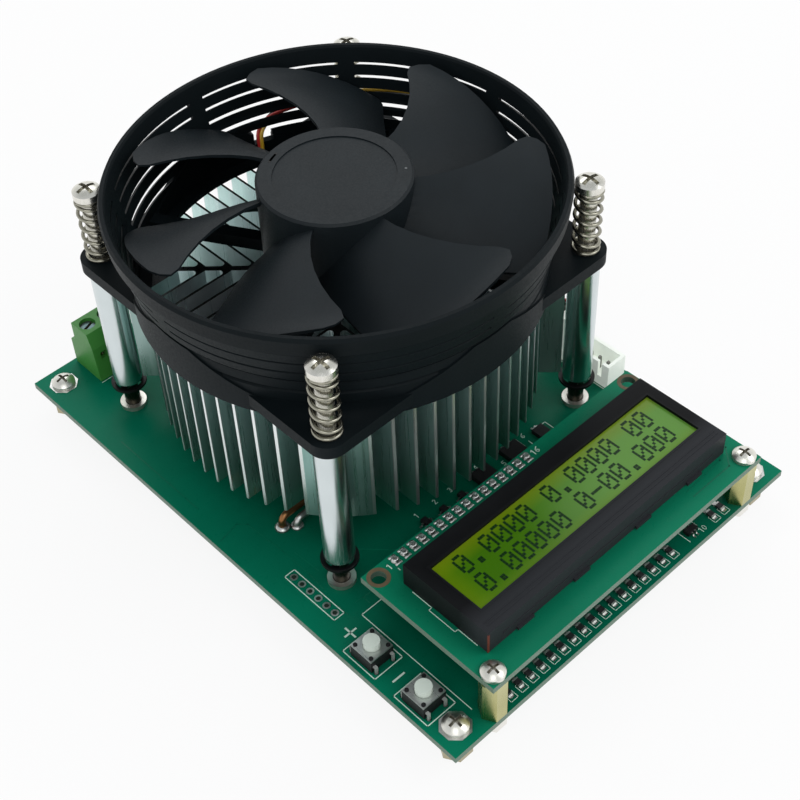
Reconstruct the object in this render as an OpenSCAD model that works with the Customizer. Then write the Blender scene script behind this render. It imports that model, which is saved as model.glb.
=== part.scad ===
// DC electronic load: a circuit board with a fan-cooled power stage, a character display,
// two setting buttons and a screw terminal. Millimetres, +Z up, the display is at the front (-Y).
// The origin is on the floor, under the middle of the main board.

/* [Main board] */
// Width of the main board, left to right
board_w = 100; // [98:1:120]
// Depth of the main board, front to back
board_d = 140; // [138:1:170]
// Thickness of the main board
board_t = 1.6; // [1.2:0.1:2.4]
// Distance of the corner holes from both edges
corner_inset = 5; // [4.5:0.25:6]

/* [Feet and corner screws] */
// Height of the feet under the board
foot_h = 6; // [5.8:0.2:15]
// Size of a foot across its flats
foot_af = 6; // [5.5:0.1:7]
// Diameter of the corner screws' shanks
foot_screw_d = 3; // [2.5:0.1:3.2]
// Diameter of the corner screws' heads
foot_head_d = 5.5; // [5:0.1:6.5]
// Depth of the free thread in a foot's underside
foot_thread_depth = 3; // [2.5:0.1:3.2]

/* [Cooler] */
// Cooler's axis, right of the board's middle
cooler_x = -0.9; // [-2:0.1:0.5]
// Cooler's axis, behind the board's middle
cooler_y = 12; // [11:0.25:13]
// Side of the square that the four posts stand on
post_pitch = 72; // [71:0.25:73]
// Outer diameter of a post
post_d = 6.6; // [6:0.1:7]
// Height of a post's lower end above the board
post_lift = 8.6; // [8:0.1:9.2]

/* [Heat sink] */
// Radius of the heat sink
sink_r = 42.1; // [41.6:0.1:42.6]
// Height of the fins' lower edge above the board
sink_lift = 9.4; // [8.5:0.1:11]
// Height of the fins
sink_h = 31.6; // [28:0.1:34]
// Distance from fin to fin
fin_pitch = 4.07; // [3.6:0.01:4.2]
// Thickness of a fin
fin_t = 0.55; // [0.4:0.05:1.4]
// Thickness of the diagonal webs
web_t = 1.4; // [1:0.1:4]
// Radius of the solid core
core_r = 12; // [10:0.25:15]
// Radius of the contact boss under the core
boss_r = 18; // [14:0.25:20]

/* [Fan frame] */
// Height of the frame
frame_h = 24.4; // [24:0.1:26]
// Distance from a post's axis to the plate's edge
plate_margin = 4.4; // [4.2:0.1:5]
// Thickness of the square plate
plate_t = 3; // [2.4:0.1:3.6]
// Height of the plate's underside above the heat sink
plate_lift = 1.2; // [0.8:0.1:1.4]
// Outer radius of the skirt
skirt_r = 44.3; // [44:0.1:44.6]
// Height of the skirt at the middle of a side
skirt_h = 9.8; // [9.2:0.1:10.2]
// Outer radius of the top rim
rim_r = 47.7; // [47.4:0.1:48]
// Thickness of the top rim
rim_t = 1.5; // [1.2:0.1:1.8]
// Number of ribs that join the slats
rib_count = 8; // [4:4:12]
// Width of a rib
rib_w = 3.6; // [2:0.1:5]
// Height of the lowest slots between two slats
slot_h = 0.9; // [0.6:0.1:1.2]
// Number of struts that carry the motor
strut_count = 4; // [3:1:5]
// Width of a strut
strut_w = 3; // [2:0.1:5]

/* [Impeller] */
// Number of blades
blade_count = 7; // [5:1:9]
// Radius of the hub
hub_r = 16.05; // [15.9:0.05:17]
// Radius of the blades' tips
tip_r = 43.5; // [41:0.1:43.6]
// Greatest thickness of a blade
blade_t = 1.5; // [1:0.1:2]
// Rise of a blade's hollow above the straight line between its edges
blade_camber = 1.2; // [0:0.1:2]
// Diameter of the fan's shaft
shaft_d = 2; // [1.6:0.1:2.4]

/* [Spring screws] */
// Diameter of the cooler screws' shanks
cooler_screw_d = 3.6; // [3:0.1:3.8]
// Diameter of the cooler screws' heads
cooler_head_d = 6; // [5.8:0.1:6.6]
// Height of the cooler screws' heads
cooler_head_h = 2.4; // [2:0.1:3]
// Height of a fitted spring
spring_h = 16; // [14:0.1:17]
// Outer diameter of a spring
spring_d = 6.2; // [6:0.1:6.6]
// Diameter of the spring wire
spring_wire_d = 0.8; // [0.6:0.05:0.9]
// Number of turns of a spring
spring_turns = 6.5; // [5:0.5:8]

/* [Display] */
// Width of the display's board
lcd_w = 80; // [79:0.5:82]
// Depth of the display's board
lcd_d = 36; // [35:0.5:36]
// Thickness of the display's board
lcd_t = 1.6; // [1.2:0.1:2]
// Height of the display's board above the main board
lcd_lift = 11; // [10.6:0.1:13]
// Distance of the display's holes from its edges
lcd_hole_inset = 2.5; // [2.3:0.1:2.9]
// Width of the bezel
bezel_w = 70.4; // [69:0.1:70.6]
// Depth of the bezel
bezel_d = 22.8; // [22:0.1:23]
// Height of the bezel
bezel_h = 6; // [5:0.1:7]
// Width of the bezel's face beside the window
window_side = 3; // [2.4:0.1:5]
// Width of the bezel's face before and behind the window
window_front = 4.6; // [3:0.1:5]
// Number of pins between the display and the main board
pin_count = 16; // [14:1:16]
// Size of the display's pillars across their flats
pillar_af = 5; // [4.5:0.1:5.2]
// Diameter of the pillars' screws
pillar_screw_d = 2.5; // [2:0.1:2.6]

/* [Buttons] */
// Distance of the buttons from the board's left edge
switch_edge = 4.7; // [4.5:0.1:4.9]
// Distance of the rear button from the board's front edge
switch_front = 27.8; // [27:0.1:29]
// Distance from button to button
switch_pitch = 14.6; // [12:0.1:15]
// Side of a switch
switch_w = 6; // [5.6:0.1:6.2]
// Height of a switch's plate above the board
switch_h = 3.5; // [3.4:0.1:5]
// Diameter of a button
button_d = 3.5; // [3:0.1:3.6]
// Height of a button above its plate
button_rise = 1.5; // [1:0.1:4]
// Distance that a button moves
button_travel = 0.25; // [0.15:0.05:0.3]

/* [Terminal] */
// Distance of the first pole from the board's left edge
pole_edge = 14.2; // [13.6:0.1:16]
// Distance of the screws from the board's rear edge
pole_back = 5.8; // [5.4:0.1:7]
// Distance from pole to pole
pole_pitch = 5.08; // [5:0.02:5.2]
// Height of the terminal
terminal_h = 13.7; // [13.4:0.1:15]
// Diameter of the screws' heads
pole_head_d = 3.7; // [3.4:0.1:3.8]
// Distance that a clamp rises
clamp_travel = 2.5; // [1.5:0.1:2.5]

/* [Headers] */
// Distance of the headers' pins from the board's right edge
header_edge = 4.7; // [4.4:0.1:5]
// Height of the white header
aux_h = 6.8; // [6:0.1:8]
// Pitch of the white header's pins
aux_pitch = 2.5; // [2.4:0.02:2.54]
// Height of the fan lead's plug above the board
plug_top = 13; // [11:0.1:15]

/* [Hidden] */
$fn = 64;
// Gap round a plain screw or pin
clear = 0.1;
// Gap of a close fit
fit = 0.03;
// Gap of a shaft in its bearing
shaft_fit = 0.03;
eps = 0.01;

board_top = foot_h + board_t;
corner_x = board_w / 2 - corner_inset;
corner_y = board_d / 2 - corner_inset;

sink_z = board_top + sink_lift;
frame_z = sink_z + sink_h;
plate_z = frame_z + plate_lift;
plate_top = plate_z + plate_t;
plate_half = post_pitch / 2 + plate_margin;
frame_top = frame_z + frame_h;
head_z = plate_top + spring_h;
nut_h = 3;
clip_t = 0.7;
clip_z = board_top + post_lift - clip_t - 0.9;
clip_r = 4.05;
washer_t = 1;

// Fan heights, all measured up from the frame's underside
hub_low = frame_z + 7;
hub_top = frame_top + 0.25;
hub_wall = 1.45;
hub_roof = 1.65;
hub_edge = 0.5;
label_r = hub_r - 3.4;
label_depth = 0.25;
motor_z = frame_z + 2.5;
motor_base_t = 2;
motor_r = 15.5;
tube_r = 4.2;
tube_top = frame_z + 17;
bearing_r = 3.1;
stator_z = frame_z + 10;
stator_h = 8;
stator_r = 11.1;
yoke_r = hub_r - hub_wall - fit;
yoke_t = 0.75;
magnet_t = 2.1;

lcd_y = -board_d / 2 + lcd_d / 2;
lcd_z = board_top + lcd_lift;
lcd_top = lcd_z + lcd_t;
lcd_hole_x = lcd_w / 2 - lcd_hole_inset;
lcd_hole_y = lcd_d / 2 - lcd_hole_inset;
lcd_back = lcd_y + lcd_d / 2;
bezel_x = 0.2;
bezel_y = -0.4;
window_w = bezel_w - 2 * window_side;
window_d = bezel_d - 2 * window_front;
window_x = 0.4;
window_y = -0.05;
bezel_t = 0.7;
glass_t = 1.6;
glass_top = lcd_top + bezel_h - bezel_t - fit;
pin_pitch = 2.54;
pin_w = 0.64;
pin_x = -32.2;
pin_y = lcd_back - 1.65;
strip_h = 2.5;
strip_w = 2.5;

switch_x = -board_w / 2 + switch_edge;
switch_y = [-board_d / 2 + switch_front, -board_d / 2 + switch_front - switch_pitch];
switch_plate_t = 0.3;
switch_floor = board_top + 1.2;
dome_h = 0.5;
dome_t = 0.12;
dome_r = 2.1;

pole_x = [-board_w / 2 + pole_edge, -board_w / 2 + pole_edge + pole_pitch];
pole_y = board_d / 2 - pole_back;
cage_w = pole_pitch - 1.08;
cage_d = 4.6;
cage_t = 0.7;
cage_wall = 0.45;
cage_low = board_top + 3.2;
cage_roof = board_top + 8;
bar_z = board_top + 7;
bar_t = 0.8;
pole_screw_d = 3;
pole_head_z = cage_roof + cage_t + clamp_travel + 0.1;
pole_head_h = 1.5;

header_x = board_w / 2 - header_edge;
aux_y = -22.3;
fan_header_y = -11.2;
fan_pitch = 2.54;

// Middle line of the fan's lead, from the motor's board to its plug
lead_d = 1.8;
lead_gap = 4.6;
lead_route = [
    [1.2, 24.3, 54.1],
    [2.2, 29.7, 54.1],
    [4.1, 37.5, 53.4],
    [6.8, 45.1, 53.2],
    [10.1, 50.4, 54.1],
    [12.7, 53.9, 55.0],
    [16.6, 55.3, 56.2],
    [21.2, 53.6, 57.8],
    [28.0, 48.8, 59.6],
    [33.1, 43.5, 60.4],
    [39.9, 35.6, 60.4],
    [44.7, 24.2, 59.6],
    [46.3, 13.6, 57.6],
    [45.9, 3.8, 54.1],
    [44.5, -2.6, 49.0],
    [44.2, -8.5, 41.5],
    [45.2, -14.4, 34.0],
    [45.9, -16.6, 29.0],
    [45.8, -14.8, 24.6],
    [45.3, -11.2, 22.6],
    [45.3, -11.2, 20.6]
];

// Resistors in a row along the board's front edge
resistor_l = 2;
resistor_w = 1.3;
resistor_h = 0.55;
resistor_inset = 3.2;
resistor_pitch = 3.04;
resistor_row = [for (k = [0:16]) -32.7 + k * resistor_pitch];
resistor_x = concat(resistor_row, [29.6, 32.6]);
resistor_y = -board_d / 2 + resistor_inset;

// Middle of each small chip, then its length, width and height
chip_row = lcd_back + 8;
small_chip_list = [
    [21.8, chip_row + 0.2, 3.0, 3.0, 1.2],
    [13.1, chip_row + 0.6, 4.9, 3.9, 1.5],
    [3.6, chip_row + 0.2, 4.9, 3.9, 1.5],
    [-3.8, chip_row - 0.9, 1.4, 2.9, 1.1],
    [-9.3, chip_row - 0.9, 1.4, 2.9, 1.1],
    [-14.4, chip_row - 0.4, 1.4, 2.9, 1.1],
    [23.1, resistor_y + 0.1, 2.9, 1.4, 1.1]
];

// Row of bare pads at the left edge, behind the buttons
pad_count = 6;
pad_pitch = 2.54;
pad_x = -board_w / 2 + 6.24;
pad_y = switch_y[0] + 12.8;

// Shared shapes

module box(x0, x1, y0, y1, z0, z1) {
    translate([x0, y0, z0])
        cube([x1 - x0, y1 - y0, z1 - z0]);
}

module rod(x, y, z0, z1, d) {
    translate([x, y, z0])
        cylinder(h = z1 - z0, d = d);
}

module hex(x, y, z0, z1, af) {
    translate([x, y, z0])
        cylinder(h = z1 - z0, d = af / cos(30), $fn = 6);
}

module cross_recess(d, depth) {
    translate([-d / 2, -d / 10, -depth])
        cube([d, d / 5, depth + 1]);
    translate([-d / 10, -d / 2, -depth])
        cube([d / 5, d, depth + 1]);
}

// Pan head on the plane z = 0 with a cross recess
module pan_head(d, h) {
    r = (d * d / 4 + h * h) / (2 * h);
    difference() {
        intersection() {
            cylinder(h = h, d = d);
            translate([0, 0, h - 1.3 * r])
                sphere(r = 1.3 * r);
        }
        translate([0, 0, h])
            cross_recess(d * 0.58, h * 0.55);
    }
}

module corners(dx, dy) {
    for (sx = [-1, 1])
        for (sy = [-1, 1])
            translate([sx * dx, sy * dy, 0])
                children();
}

module at_posts() {
    translate([cooler_x, cooler_y, 0])
        corners(post_pitch / 2, post_pitch / 2)
            children();
}

module at_cooler(z = 0) {
    translate([cooler_x, cooler_y, z])
        children();
}

module ring(r_out, r_in, z0, z1) {
    translate([0, 0, z0])
        difference() {
            cylinder(h = z1 - z0, r = r_out);
            translate([0, 0, -1])
                cylinder(h = z1 - z0 + 2, r = r_in);
        }
}

// Board, feet and corner screws

module drill(x, y, d) {
    rod(x, y, foot_h - 1, board_top + 1, d);
}

module main_board() {
    color("seagreen")
        difference() {
            box(-board_w / 2, board_w / 2, -board_d / 2, board_d / 2, foot_h, board_top);
            corners(corner_x, corner_y)
                drill(0, 0, foot_screw_d + 2 * clear);
            at_posts()
                drill(0, 0, cooler_screw_d + 2 * clear);
            for (sx = [-1, 1])
                drill(sx * lcd_hole_x, lcd_y - lcd_hole_y, pillar_screw_d + 2 * clear);
            for (k = [0:pin_count - 1])
                drill(pin_x + k * pin_pitch, pin_y, 1.1);
            for (y = switch_y)
                for (sx = [-1, 1])
                    for (sy = [-1, 1])
                        drill(switch_x + sx * 2.25, y + sy * (switch_w / 2 + 0.6), 1.1);
            for (x = pole_x)
                drill(x, pole_y - cage_d / 2 - 0.6, 1.4);
            for (k = [-1:1]) {
                drill(header_x, aux_y + k * aux_pitch, 1.1);
                drill(header_x, fan_header_y + k * fan_pitch, 1.1);
                drill(cooler_x + k * transistor_pitch, cooler_y - transistor_front - lead_reach + 0.5, 1.9);
            }
            for (k = [0:pad_count - 1])
                drill(pad_x, pad_y + k * pad_pitch, 1);
            for (x = shunt_ends)
                drill(x, shunt_y, shunt_d + 0.3);
            for (x = link_ends)
                drill(x, link_y, link_d + 0.3);
        }
}

module board_feet() {
    color("gold")
        corners(corner_x, corner_y)
            difference() {
                hex(0, 0, 0, foot_h, foot_af);
                rod(0, 0, -1, foot_thread_depth, foot_screw_d - 0.5);
                rod(0, 0, foot_thread_depth + 0.4, foot_h + 1, foot_screw_d + 2 * fit);
            }
}

module foot_screws() {
    color("silver")
        corners(corner_x, corner_y) {
            translate([0, 0, board_top])
                pan_head(foot_head_d, 2);
            rod(0, 0, foot_thread_depth + 0.5, board_top, foot_screw_d);
        }
}

// Heat sink and power stage

// Gaps on each side of a quarter's middle, and the rounding of their ends as a share of the gap
fin_gaps = 6;
fin_round = 0.22;
arm_r = post_pitch / sqrt(2) - post_d / 2 - 0.4;

// Gap between two fins: it ends along the diagonal web, with its sharp corner rounded
module fin_slot(k) {
    w = fin_pitch - fin_t;
    low = (abs(k + 0.5) - 0.5) * fin_pitch + fin_t / 2;
    high = low + w;
    r = w * fin_round;
    web = web_t / sqrt(2);
    x = low + r + web + r * sqrt(2);
    mirror([0, k < 0 ? 1 : 0, 0])
        translate([0, 0, -1])
            linear_extrude(height = sink_h + 2) {
                polygon([
                    [x, low],
                    [2 * sink_r, low],
                    [2 * sink_r, high],
                    [high + web, high],
                    [x - r / sqrt(2), low + r + r / sqrt(2)],
                    [x, low + r]
                ]);
                translate([x, low + r])
                    circle(r = r);
            }
}

module heat_sink() {
    color("silver")
        at_cooler(sink_z)
            union() {
                difference() {
                    cylinder(h = sink_h, r = sink_r);
                    for (q = [0:3])
                        rotate([0, 0, q * 90])
                            for (k = [-fin_gaps:fin_gaps - 1])
                                fin_slot(k);
                }
                cylinder(h = sink_h, r = core_r);
                // The web's arms run on past the fins, up to the posts
                for (q = [0:3])
                    rotate([0, 0, 45 + q * 90])
                        translate([0, -web_t / 2, 0])
                            cube([arm_r, web_t, sink_h]);
                translate([0, 0, pad_top - sink_z])
                    cylinder(h = sink_z - pad_top + 1, r = boss_r);
            }
}

transistor_top = board_top + 5.1;
pad_top = transistor_top + 0.3;
transistor_w = 15.9;
transistor_d = 20.8;
transistor_front = 9;
transistor_pitch = 5.44;
lead_reach = 5.5;

module transistor_slab(z0, z1) {
    box(-transistor_w / 2, transistor_w / 2, -transistor_front, transistor_d - transistor_front, z0, z1);
}

module thermal_pad() {
    color("lightgrey")
        at_cooler()
            transistor_slab(transistor_top, pad_top);
}

module power_transistor() {
    color("dimgray")
        at_cooler()
            transistor_slab(board_top, transistor_top);
}

module transistor_leads() {
    color("silver")
        for (k = [-1:1])
            translate([cooler_x + k * transistor_pitch, cooler_y - transistor_front, 0]) {
                box(-0.6, 0.6, -lead_reach, 0, board_top + 2.2, board_top + 2.8);
                box(-0.6, 0.6, -lead_reach, -lead_reach + 0.6, foot_h - 1.2, board_top + 2.2);
            }
}

// Two wire bridges in front of the cooler's left half
shunt_y = cooler_y - 16.9;
shunt_ends = [cooler_x - 35.8, cooler_x - 14.1];
shunt_d = 1.6;
link_y = shunt_y - 1.9;
link_ends = [cooler_x - 33.3, cooler_x - 11.1];
link_d = 1.6;

// Wire bridge along X from one board hole to another
module bridge(ends, y, d, rise) {
    bend = d;
    top = board_top + rise;
    for (s = [0, 1])
        rod(ends[s], y, foot_h - 1, top - bend, d);
    for (s = [0, 1])
        translate([ends[s], y, top - bend])
            mirror([s, 0, 0])
                translate([bend, 0, 0])
                    rotate([90, 0, 0])
                        intersection() {
                            rotate_extrude()
                                translate([bend, 0])
                                    circle(d = d);
                            translate([-4 * d, 0, -d])
                                cube([4 * d, 4 * d, 2 * d]);
                        }
    translate([ends[0] + bend, y, top])
        rotate([0, 90, 0])
            cylinder(h = ends[1] - ends[0] - 2 * bend, d = d);
}

module shunt_wire() {
    color("peru")
        bridge(shunt_ends, shunt_y, shunt_d, 3.2);
}

module link_wire() {
    color("silver")
        bridge(link_ends, link_y, link_d, 2);
}

// Fan frame

// Radii of the frame's wall, and heights in it measured from the frame's underside
bore_r = skirt_r - 1.2;
wall_r = skirt_r - 0.4;
flare_r = rim_r - 1.1;
flare_t = 1.4;
band_z = frame_h - 4.4;
wall_low = plate_lift + plate_t - 0.5;

// Each slot's height in the wall, and its opening as a share of the lowest one's
slot_levels = [[21.1, 0.6], [17.65, 0.7], [14, 0.85], [10.3, 1], [6.9, 1]];
slot_slope = 0.71;

module slot_ring(z, h) {
    r_in = bore_r - 1.1;
    r_out = rim_r + 1.3;
    z_in = z + (skirt_r - r_in) * slot_slope;
    z_out = z - (r_out - skirt_r) * slot_slope;
    rotate_extrude()
        polygon([
            [r_in, z_in - h / 2],
            [r_out, z_out - h / 2],
            [r_out, z_out + h / 2],
            [r_in, z_in + h / 2]
        ]);
}

module frame_wall() {
    rotate_extrude()
        polygon([
            [bore_r, wall_low],
            [wall_r, wall_low],
            [wall_r, skirt_h],
            [wall_r + 0.7, skirt_h + 1.2],
            [flare_r, band_z - 0.7],
            [rim_r - 0.4, band_z],
            [rim_r, frame_h - 0.8],
            [rim_r - 0.4, frame_h],
            [rim_r - rim_t + 0.3, frame_h],
            [rim_r - rim_t, frame_h - 0.5],
            [flare_r - flare_t, band_z - 1.5],
            [bore_r + 0.9, skirt_h + 2.2],
            [bore_r, skirt_h]
        ]);
}

module ribs() {
    for (k = [0:rib_count - 1])
        rotate([0, 0, k * 360 / rib_count])
            translate([bore_r - 5, -rib_w / 2, 0])
                cube([12, rib_w, frame_h]);
}

// Apron at the middle of each side: its top falls away towards the corners
module apron() {
    intersection() {
        ring(skirt_r, bore_r - 0.5, 0, skirt_h);
        union()
            for (q = [0:1])
                rotate([90, 0, q * 90])
                    translate([0, 0, -60])
                        linear_extrude(height = 120)
                            polygon([
                                [-25, 0],
                                [25, 0],
                                [25, plate_lift],
                                [19.7, plate_lift + plate_t],
                                [5, skirt_h],
                                [-5, skirt_h],
                                [-19.7, plate_lift + plate_t],
                                [-25, plate_lift]
                            ]);
    }
}

module plate_blank() {
    translate([0, 0, plate_lift]) {
        translate([-plate_half, -post_pitch / 2, 0])
            cube([2 * plate_half, post_pitch, plate_t]);
        translate([-post_pitch / 2, -plate_half, 0])
            cube([post_pitch, 2 * plate_half, plate_t]);
        corners(post_pitch / 2, post_pitch / 2)
            cylinder(h = plate_t, r = plate_margin);
    }
}

module fan_shroud() {
    color("darkslategray")
        at_cooler(frame_z)
            difference() {
                union() {
                    difference() {
                        plate_blank();
                        translate([0, 0, -1])
                            cylinder(h = frame_h, r = bore_r);
                        corners(post_pitch / 2, post_pitch / 2)
                            translate([0, 0, -1])
                                cylinder(h = frame_h, d = cooler_screw_d + 2 * clear);
                    }
                    ring(wall_r, bore_r - 2.8, 0, plate_lift);
                    ring(wall_r, bore_r - 0.5, plate_lift - eps, wall_low + 0.5);
                    difference() {
                        frame_wall();
                        difference() {
                            union()
                                for (level = slot_levels)
                                    slot_ring(level[0], level[1] * slot_h);
                            ribs();
                        }
                    }
                    apron();
                    motor_mount();
                }
                // Gap for the fan's lead
                rotate([0, 0, 71.8])
                    translate([bore_r - 1.6, -lead_gap / 2, plate_lift + plate_t + 0.4])
                        cube([5, lead_gap, 3.6]);
            }
}

module motor_mount() {
    base = motor_z - frame_z;
    for (k = [0:strut_count - 1])
        rotate([0, 0, 30 + k * 360 / strut_count])
            translate([motor_r - 1, -strut_w / 2, base - 0.4])
                cube([bore_r - 0.25 - motor_r + 1, strut_w, 3]);
    difference() {
        union() {
            translate([0, 0, base])
                cylinder(h = motor_base_t, r = motor_r);
            translate([0, 0, base])
                cylinder(h = motor_base_t + 0.8, r = tube_r + 1.4);
            translate([0, 0, base])
                cylinder(h = tube_top - motor_z, r = tube_r);
        }
        translate([0, 0, base + 1.2])
            cylinder(h = 30, r = bearing_r + fit);
    }
}

// Impeller

tip_low = frame_z + 12.4;
tip_high = frame_z + 23.4;
root_low = frame_z + 10.4;
root_high = frame_z + 23;
blade_stations = [-0.03, 0.12, 0.27, 0.42, 0.57, 0.71, 0.83, 0.91, 0.965, 1];
chord_steps = 8;
blade_start = -96.5;

// Angles of a blade's two edges at the part t of the way from hub to tip
function lead_edge(t) = 22 * pow(max(t, 0), 1.2) - 9 * pow(max(0, (t - 0.8) / 0.2), 3);
function trail_edge(t) = -50 + 50 * t - 24 * t * t + 2.5 * pow(max(0, (t - 0.85) / 0.15), 3);
function blade_point(t, s, side) =
    let (
        r = hub_r + t * (tip_r - hub_r),
        a = trail_edge(t) + (lead_edge(t) - trail_edge(t)) * s,
        low = root_low + (tip_low - root_low) * t,
        high = root_high + (tip_high - root_high) * t,
        bow = 4 * s * (1 - s),
        z = low + (high - low) * s + blade_camber * bow,
        half = blade_t * (0.3 + 0.2 * bow - 0.15 * max(t, 0))
    )
    [r * cos(a), r * sin(a), z + side * half];

module blade() {
    nr = len(blade_stations);
    nc = chord_steps + 1;
    top = [for (t = blade_stations) for (j = [0:chord_steps]) blade_point(t, j / chord_steps, 1)];
    low = [for (t = blade_stations) for (j = [0:chord_steps]) blade_point(t, j / chord_steps, -1)];
    n = nr * nc;
    skin = [for (i = [0:nr - 2]) for (j = [0:nc - 2]) let (a = i * nc + j, b = a + nc)
        each [[a, a + 1, b + 1], [a, b + 1, b], [n + a, n + b + 1, n + a + 1], [n + a, n + b, n + b + 1]]];
    ends = [for (j = [0:nc - 2]) let (a = j, b = (nr - 1) * nc + j)
        each [[a, n + a + 1, a + 1], [a, n + a, n + a + 1], [b, b + 1, n + b + 1], [b, n + b + 1, n + b]]];
    edges = [for (i = [0:nr - 2]) let (a = i * nc, b = a + nc, c = a + nc - 1, d = b + nc - 1)
        each [[a, b, n + b], [a, n + b, n + a], [c, n + d, d], [c, n + c, n + d]]];
    polyhedron(points = concat(top, low), faces = concat(skin, ends, edges));
}

module fan_impeller() {
    color("dimgray")
        at_cooler()
            union() {
                rotate_extrude()
                    polygon([
                        [hub_r - hub_wall, hub_low],
                        [hub_r, hub_low],
                        [hub_r, hub_top - hub_edge],
                        [hub_r - hub_edge, hub_top],
                        [label_r, hub_top],
                        [label_r, hub_top - label_depth],
                        [0, hub_top - label_depth],
                        [0, hub_top - hub_roof],
                        [hub_r - hub_wall, hub_top - hub_roof]
                    ]);
                ring(3.2, shaft_d / 2 + fit, hub_top - hub_roof - 3.5, hub_top - hub_roof + 0.4);
                for (k = [0:blade_count - 1])
                    rotate([0, 0, blade_start + k * 360 / blade_count])
                        blade();
            }
}

// Fan motor

module rotor_yoke() {
    color("silver")
        at_cooler()
            ring(yoke_r, yoke_r - yoke_t, hub_low + 1.5, hub_top - hub_roof - 0.1);
}

module rotor_magnet() {
    color("black")
        at_cooler()
            ring(yoke_r - yoke_t - fit, yoke_r - yoke_t - magnet_t, stator_z - 0.5, stator_z + stator_h + 2);
}

module rotor_shaft() {
    color("silver")
        at_cooler()
            difference() {
                translate([0, 0, motor_z + 1.9])
                    cylinder(h = hub_top - hub_roof - motor_z - 1.9, d = shaft_d);
                ring(shaft_d, shaft_d / 2 - 0.3, motor_z + 2.5, motor_z + 3);
            }
}

module shaft_clip() {
    color("white")
        at_cooler()
            ring(2.4, shaft_d / 2 - 0.3 + fit, motor_z + 2.55, motor_z + 2.95);
}

module fan_bearing() {
    color("goldenrod")
        at_cooler()
            ring(bearing_r, shaft_d / 2 + shaft_fit, motor_z + 3.5, tube_top);
}

module stator_core() {
    color("lightgrey")
        at_cooler(stator_z)
            difference() {
                union() {
                    cylinder(h = stator_h, r = 5.6);
                    for (q = [0:3])
                        rotate([0, 0, q * 90])
                            translate([4.6, -1.5, 0])
                                cube([5.2, 3, stator_h]);
                    intersection() {
                        ring(stator_r, 9.3, 0, stator_h);
                        union()
                            for (q = [0:1])
                                rotate([0, 0, q * 90])
                                    translate([-20, -6, -1])
                                        cube([40, 12, stator_h + 2]);
                    }
                }
                translate([0, 0, -1])
                    cylinder(h = stator_h + 2, r = tube_r + fit);
            }
}

module stator_coils() {
    color("chocolate")
        at_cooler(stator_z)
            for (q = [0:3])
                rotate([0, 0, q * 90])
                    difference() {
                        translate([6, -2.9, -0.9])
                            cube([2.55, 5.8, stator_h + 1.8]);
                        translate([5, -1.5 - fit, -fit])
                            cube([6, 3 + 2 * fit, stator_h + 2 * fit]);
                    }
}

module fan_driver_board() {
    color("green")
        at_cooler()
            ring(12.4, tube_r + fit, motor_z + motor_base_t + 0.8, motor_z + motor_base_t + 1.8);
}

// Posts, screws and springs of the cooler

module cooler_posts() {
    color("silver")
        at_posts()
            ring(post_d / 2, cooler_screw_d / 2 + clear, board_top + post_lift, plate_z);
}

module cooler_screws() {
    color("silver")
        at_posts() {
            translate([0, 0, head_z])
                difference() {
                    intersection() {
                        cylinder(h = cooler_head_h, d = cooler_head_d);
                        translate([0, 0, cooler_head_h - cooler_head_d * 0.9])
                            sphere(r = cooler_head_d * 0.9);
                    }
                    translate([0, 0, cooler_head_h])
                        cross_recess(cooler_head_d * 0.7, 1.5);
                }
            difference() {
                rod(0, 0, foot_h - nut_h - 0.8, head_z + eps, cooler_screw_d);
                ring(cooler_screw_d, cooler_screw_d / 2 - 0.4, clip_z, clip_z + clip_t);
            }
        }
}

// Left-hand coil with flattened ends: height of the wire's middle at the part u of its length
spring_steps = 12;
spring_sides = 6;
function coil_height(u) =
    let (flat = 0.8 / spring_turns, v = min(max((u - flat) / (1 - 2 * flat), 0), 1))
    spring_wire_d / 2 + (spring_wire_d * 0.55) * (min(u, flat) + max(u - 1 + flat, 0)) / flat
        + (spring_h - spring_wire_d - 1.1 * spring_wire_d) * v;

module coil() {
    n = spring_turns * spring_steps;
    m = spring_sides;
    mean = (spring_d - spring_wire_d) / 2;
    pts = [for (i = [0:n]) for (j = [0:m - 1])
        let (a = i * 360 / spring_steps, b = j * 360 / m + 30, r = mean + spring_wire_d / 2 * cos(b))
        [r * cos(a), -r * sin(a), coil_height(i / n) + spring_wire_d / 2 * sin(b)]];
    sides = [for (i = [0:n - 1]) for (j = [0:m - 1])
        let (a = i * m + j, b = i * m + (j + 1) % m)
        each [[a, b + m, b], [a, a + m, b + m]]];
    caps = [[for (j = [0:m - 1]) j], [for (j = [m - 1:-1:0]) n * m + j]];
    polyhedron(points = pts, faces = concat(sides, caps));
}

module cooler_springs() {
    color("silver")
        at_posts()
            translate([0, 0, plate_top])
                coil();
}

module cooler_clips() {
    color("black")
        at_posts()
            difference() {
                ring(clip_r, cooler_screw_d / 2 - 0.4 + fit, clip_z + fit, clip_z + clip_t);
                difference() {
                    ring(clip_r - 0.95, cooler_screw_d / 2 + 0.35, clip_z - 1, clip_z + clip_t + 1);
                    for (a = [90, 210, 330])
                        rotate([0, 0, a])
                            box(0, clip_r, -0.8, 0.8, clip_z - 2, clip_z + clip_t + 2);
                }
            }
}

module cooler_washers() {
    color("silver")
        at_posts()
            ring(3.05, cooler_screw_d / 2 + clear, board_top, board_top + washer_t);
}

module cooler_nuts() {
    color("silver")
        at_posts()
            difference() {
                hex(0, 0, foot_h - nut_h, foot_h, 6.4);
                rod(0, 0, 0, foot_h + 1, cooler_screw_d + 2 * fit);
            }
}

// Display

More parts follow.
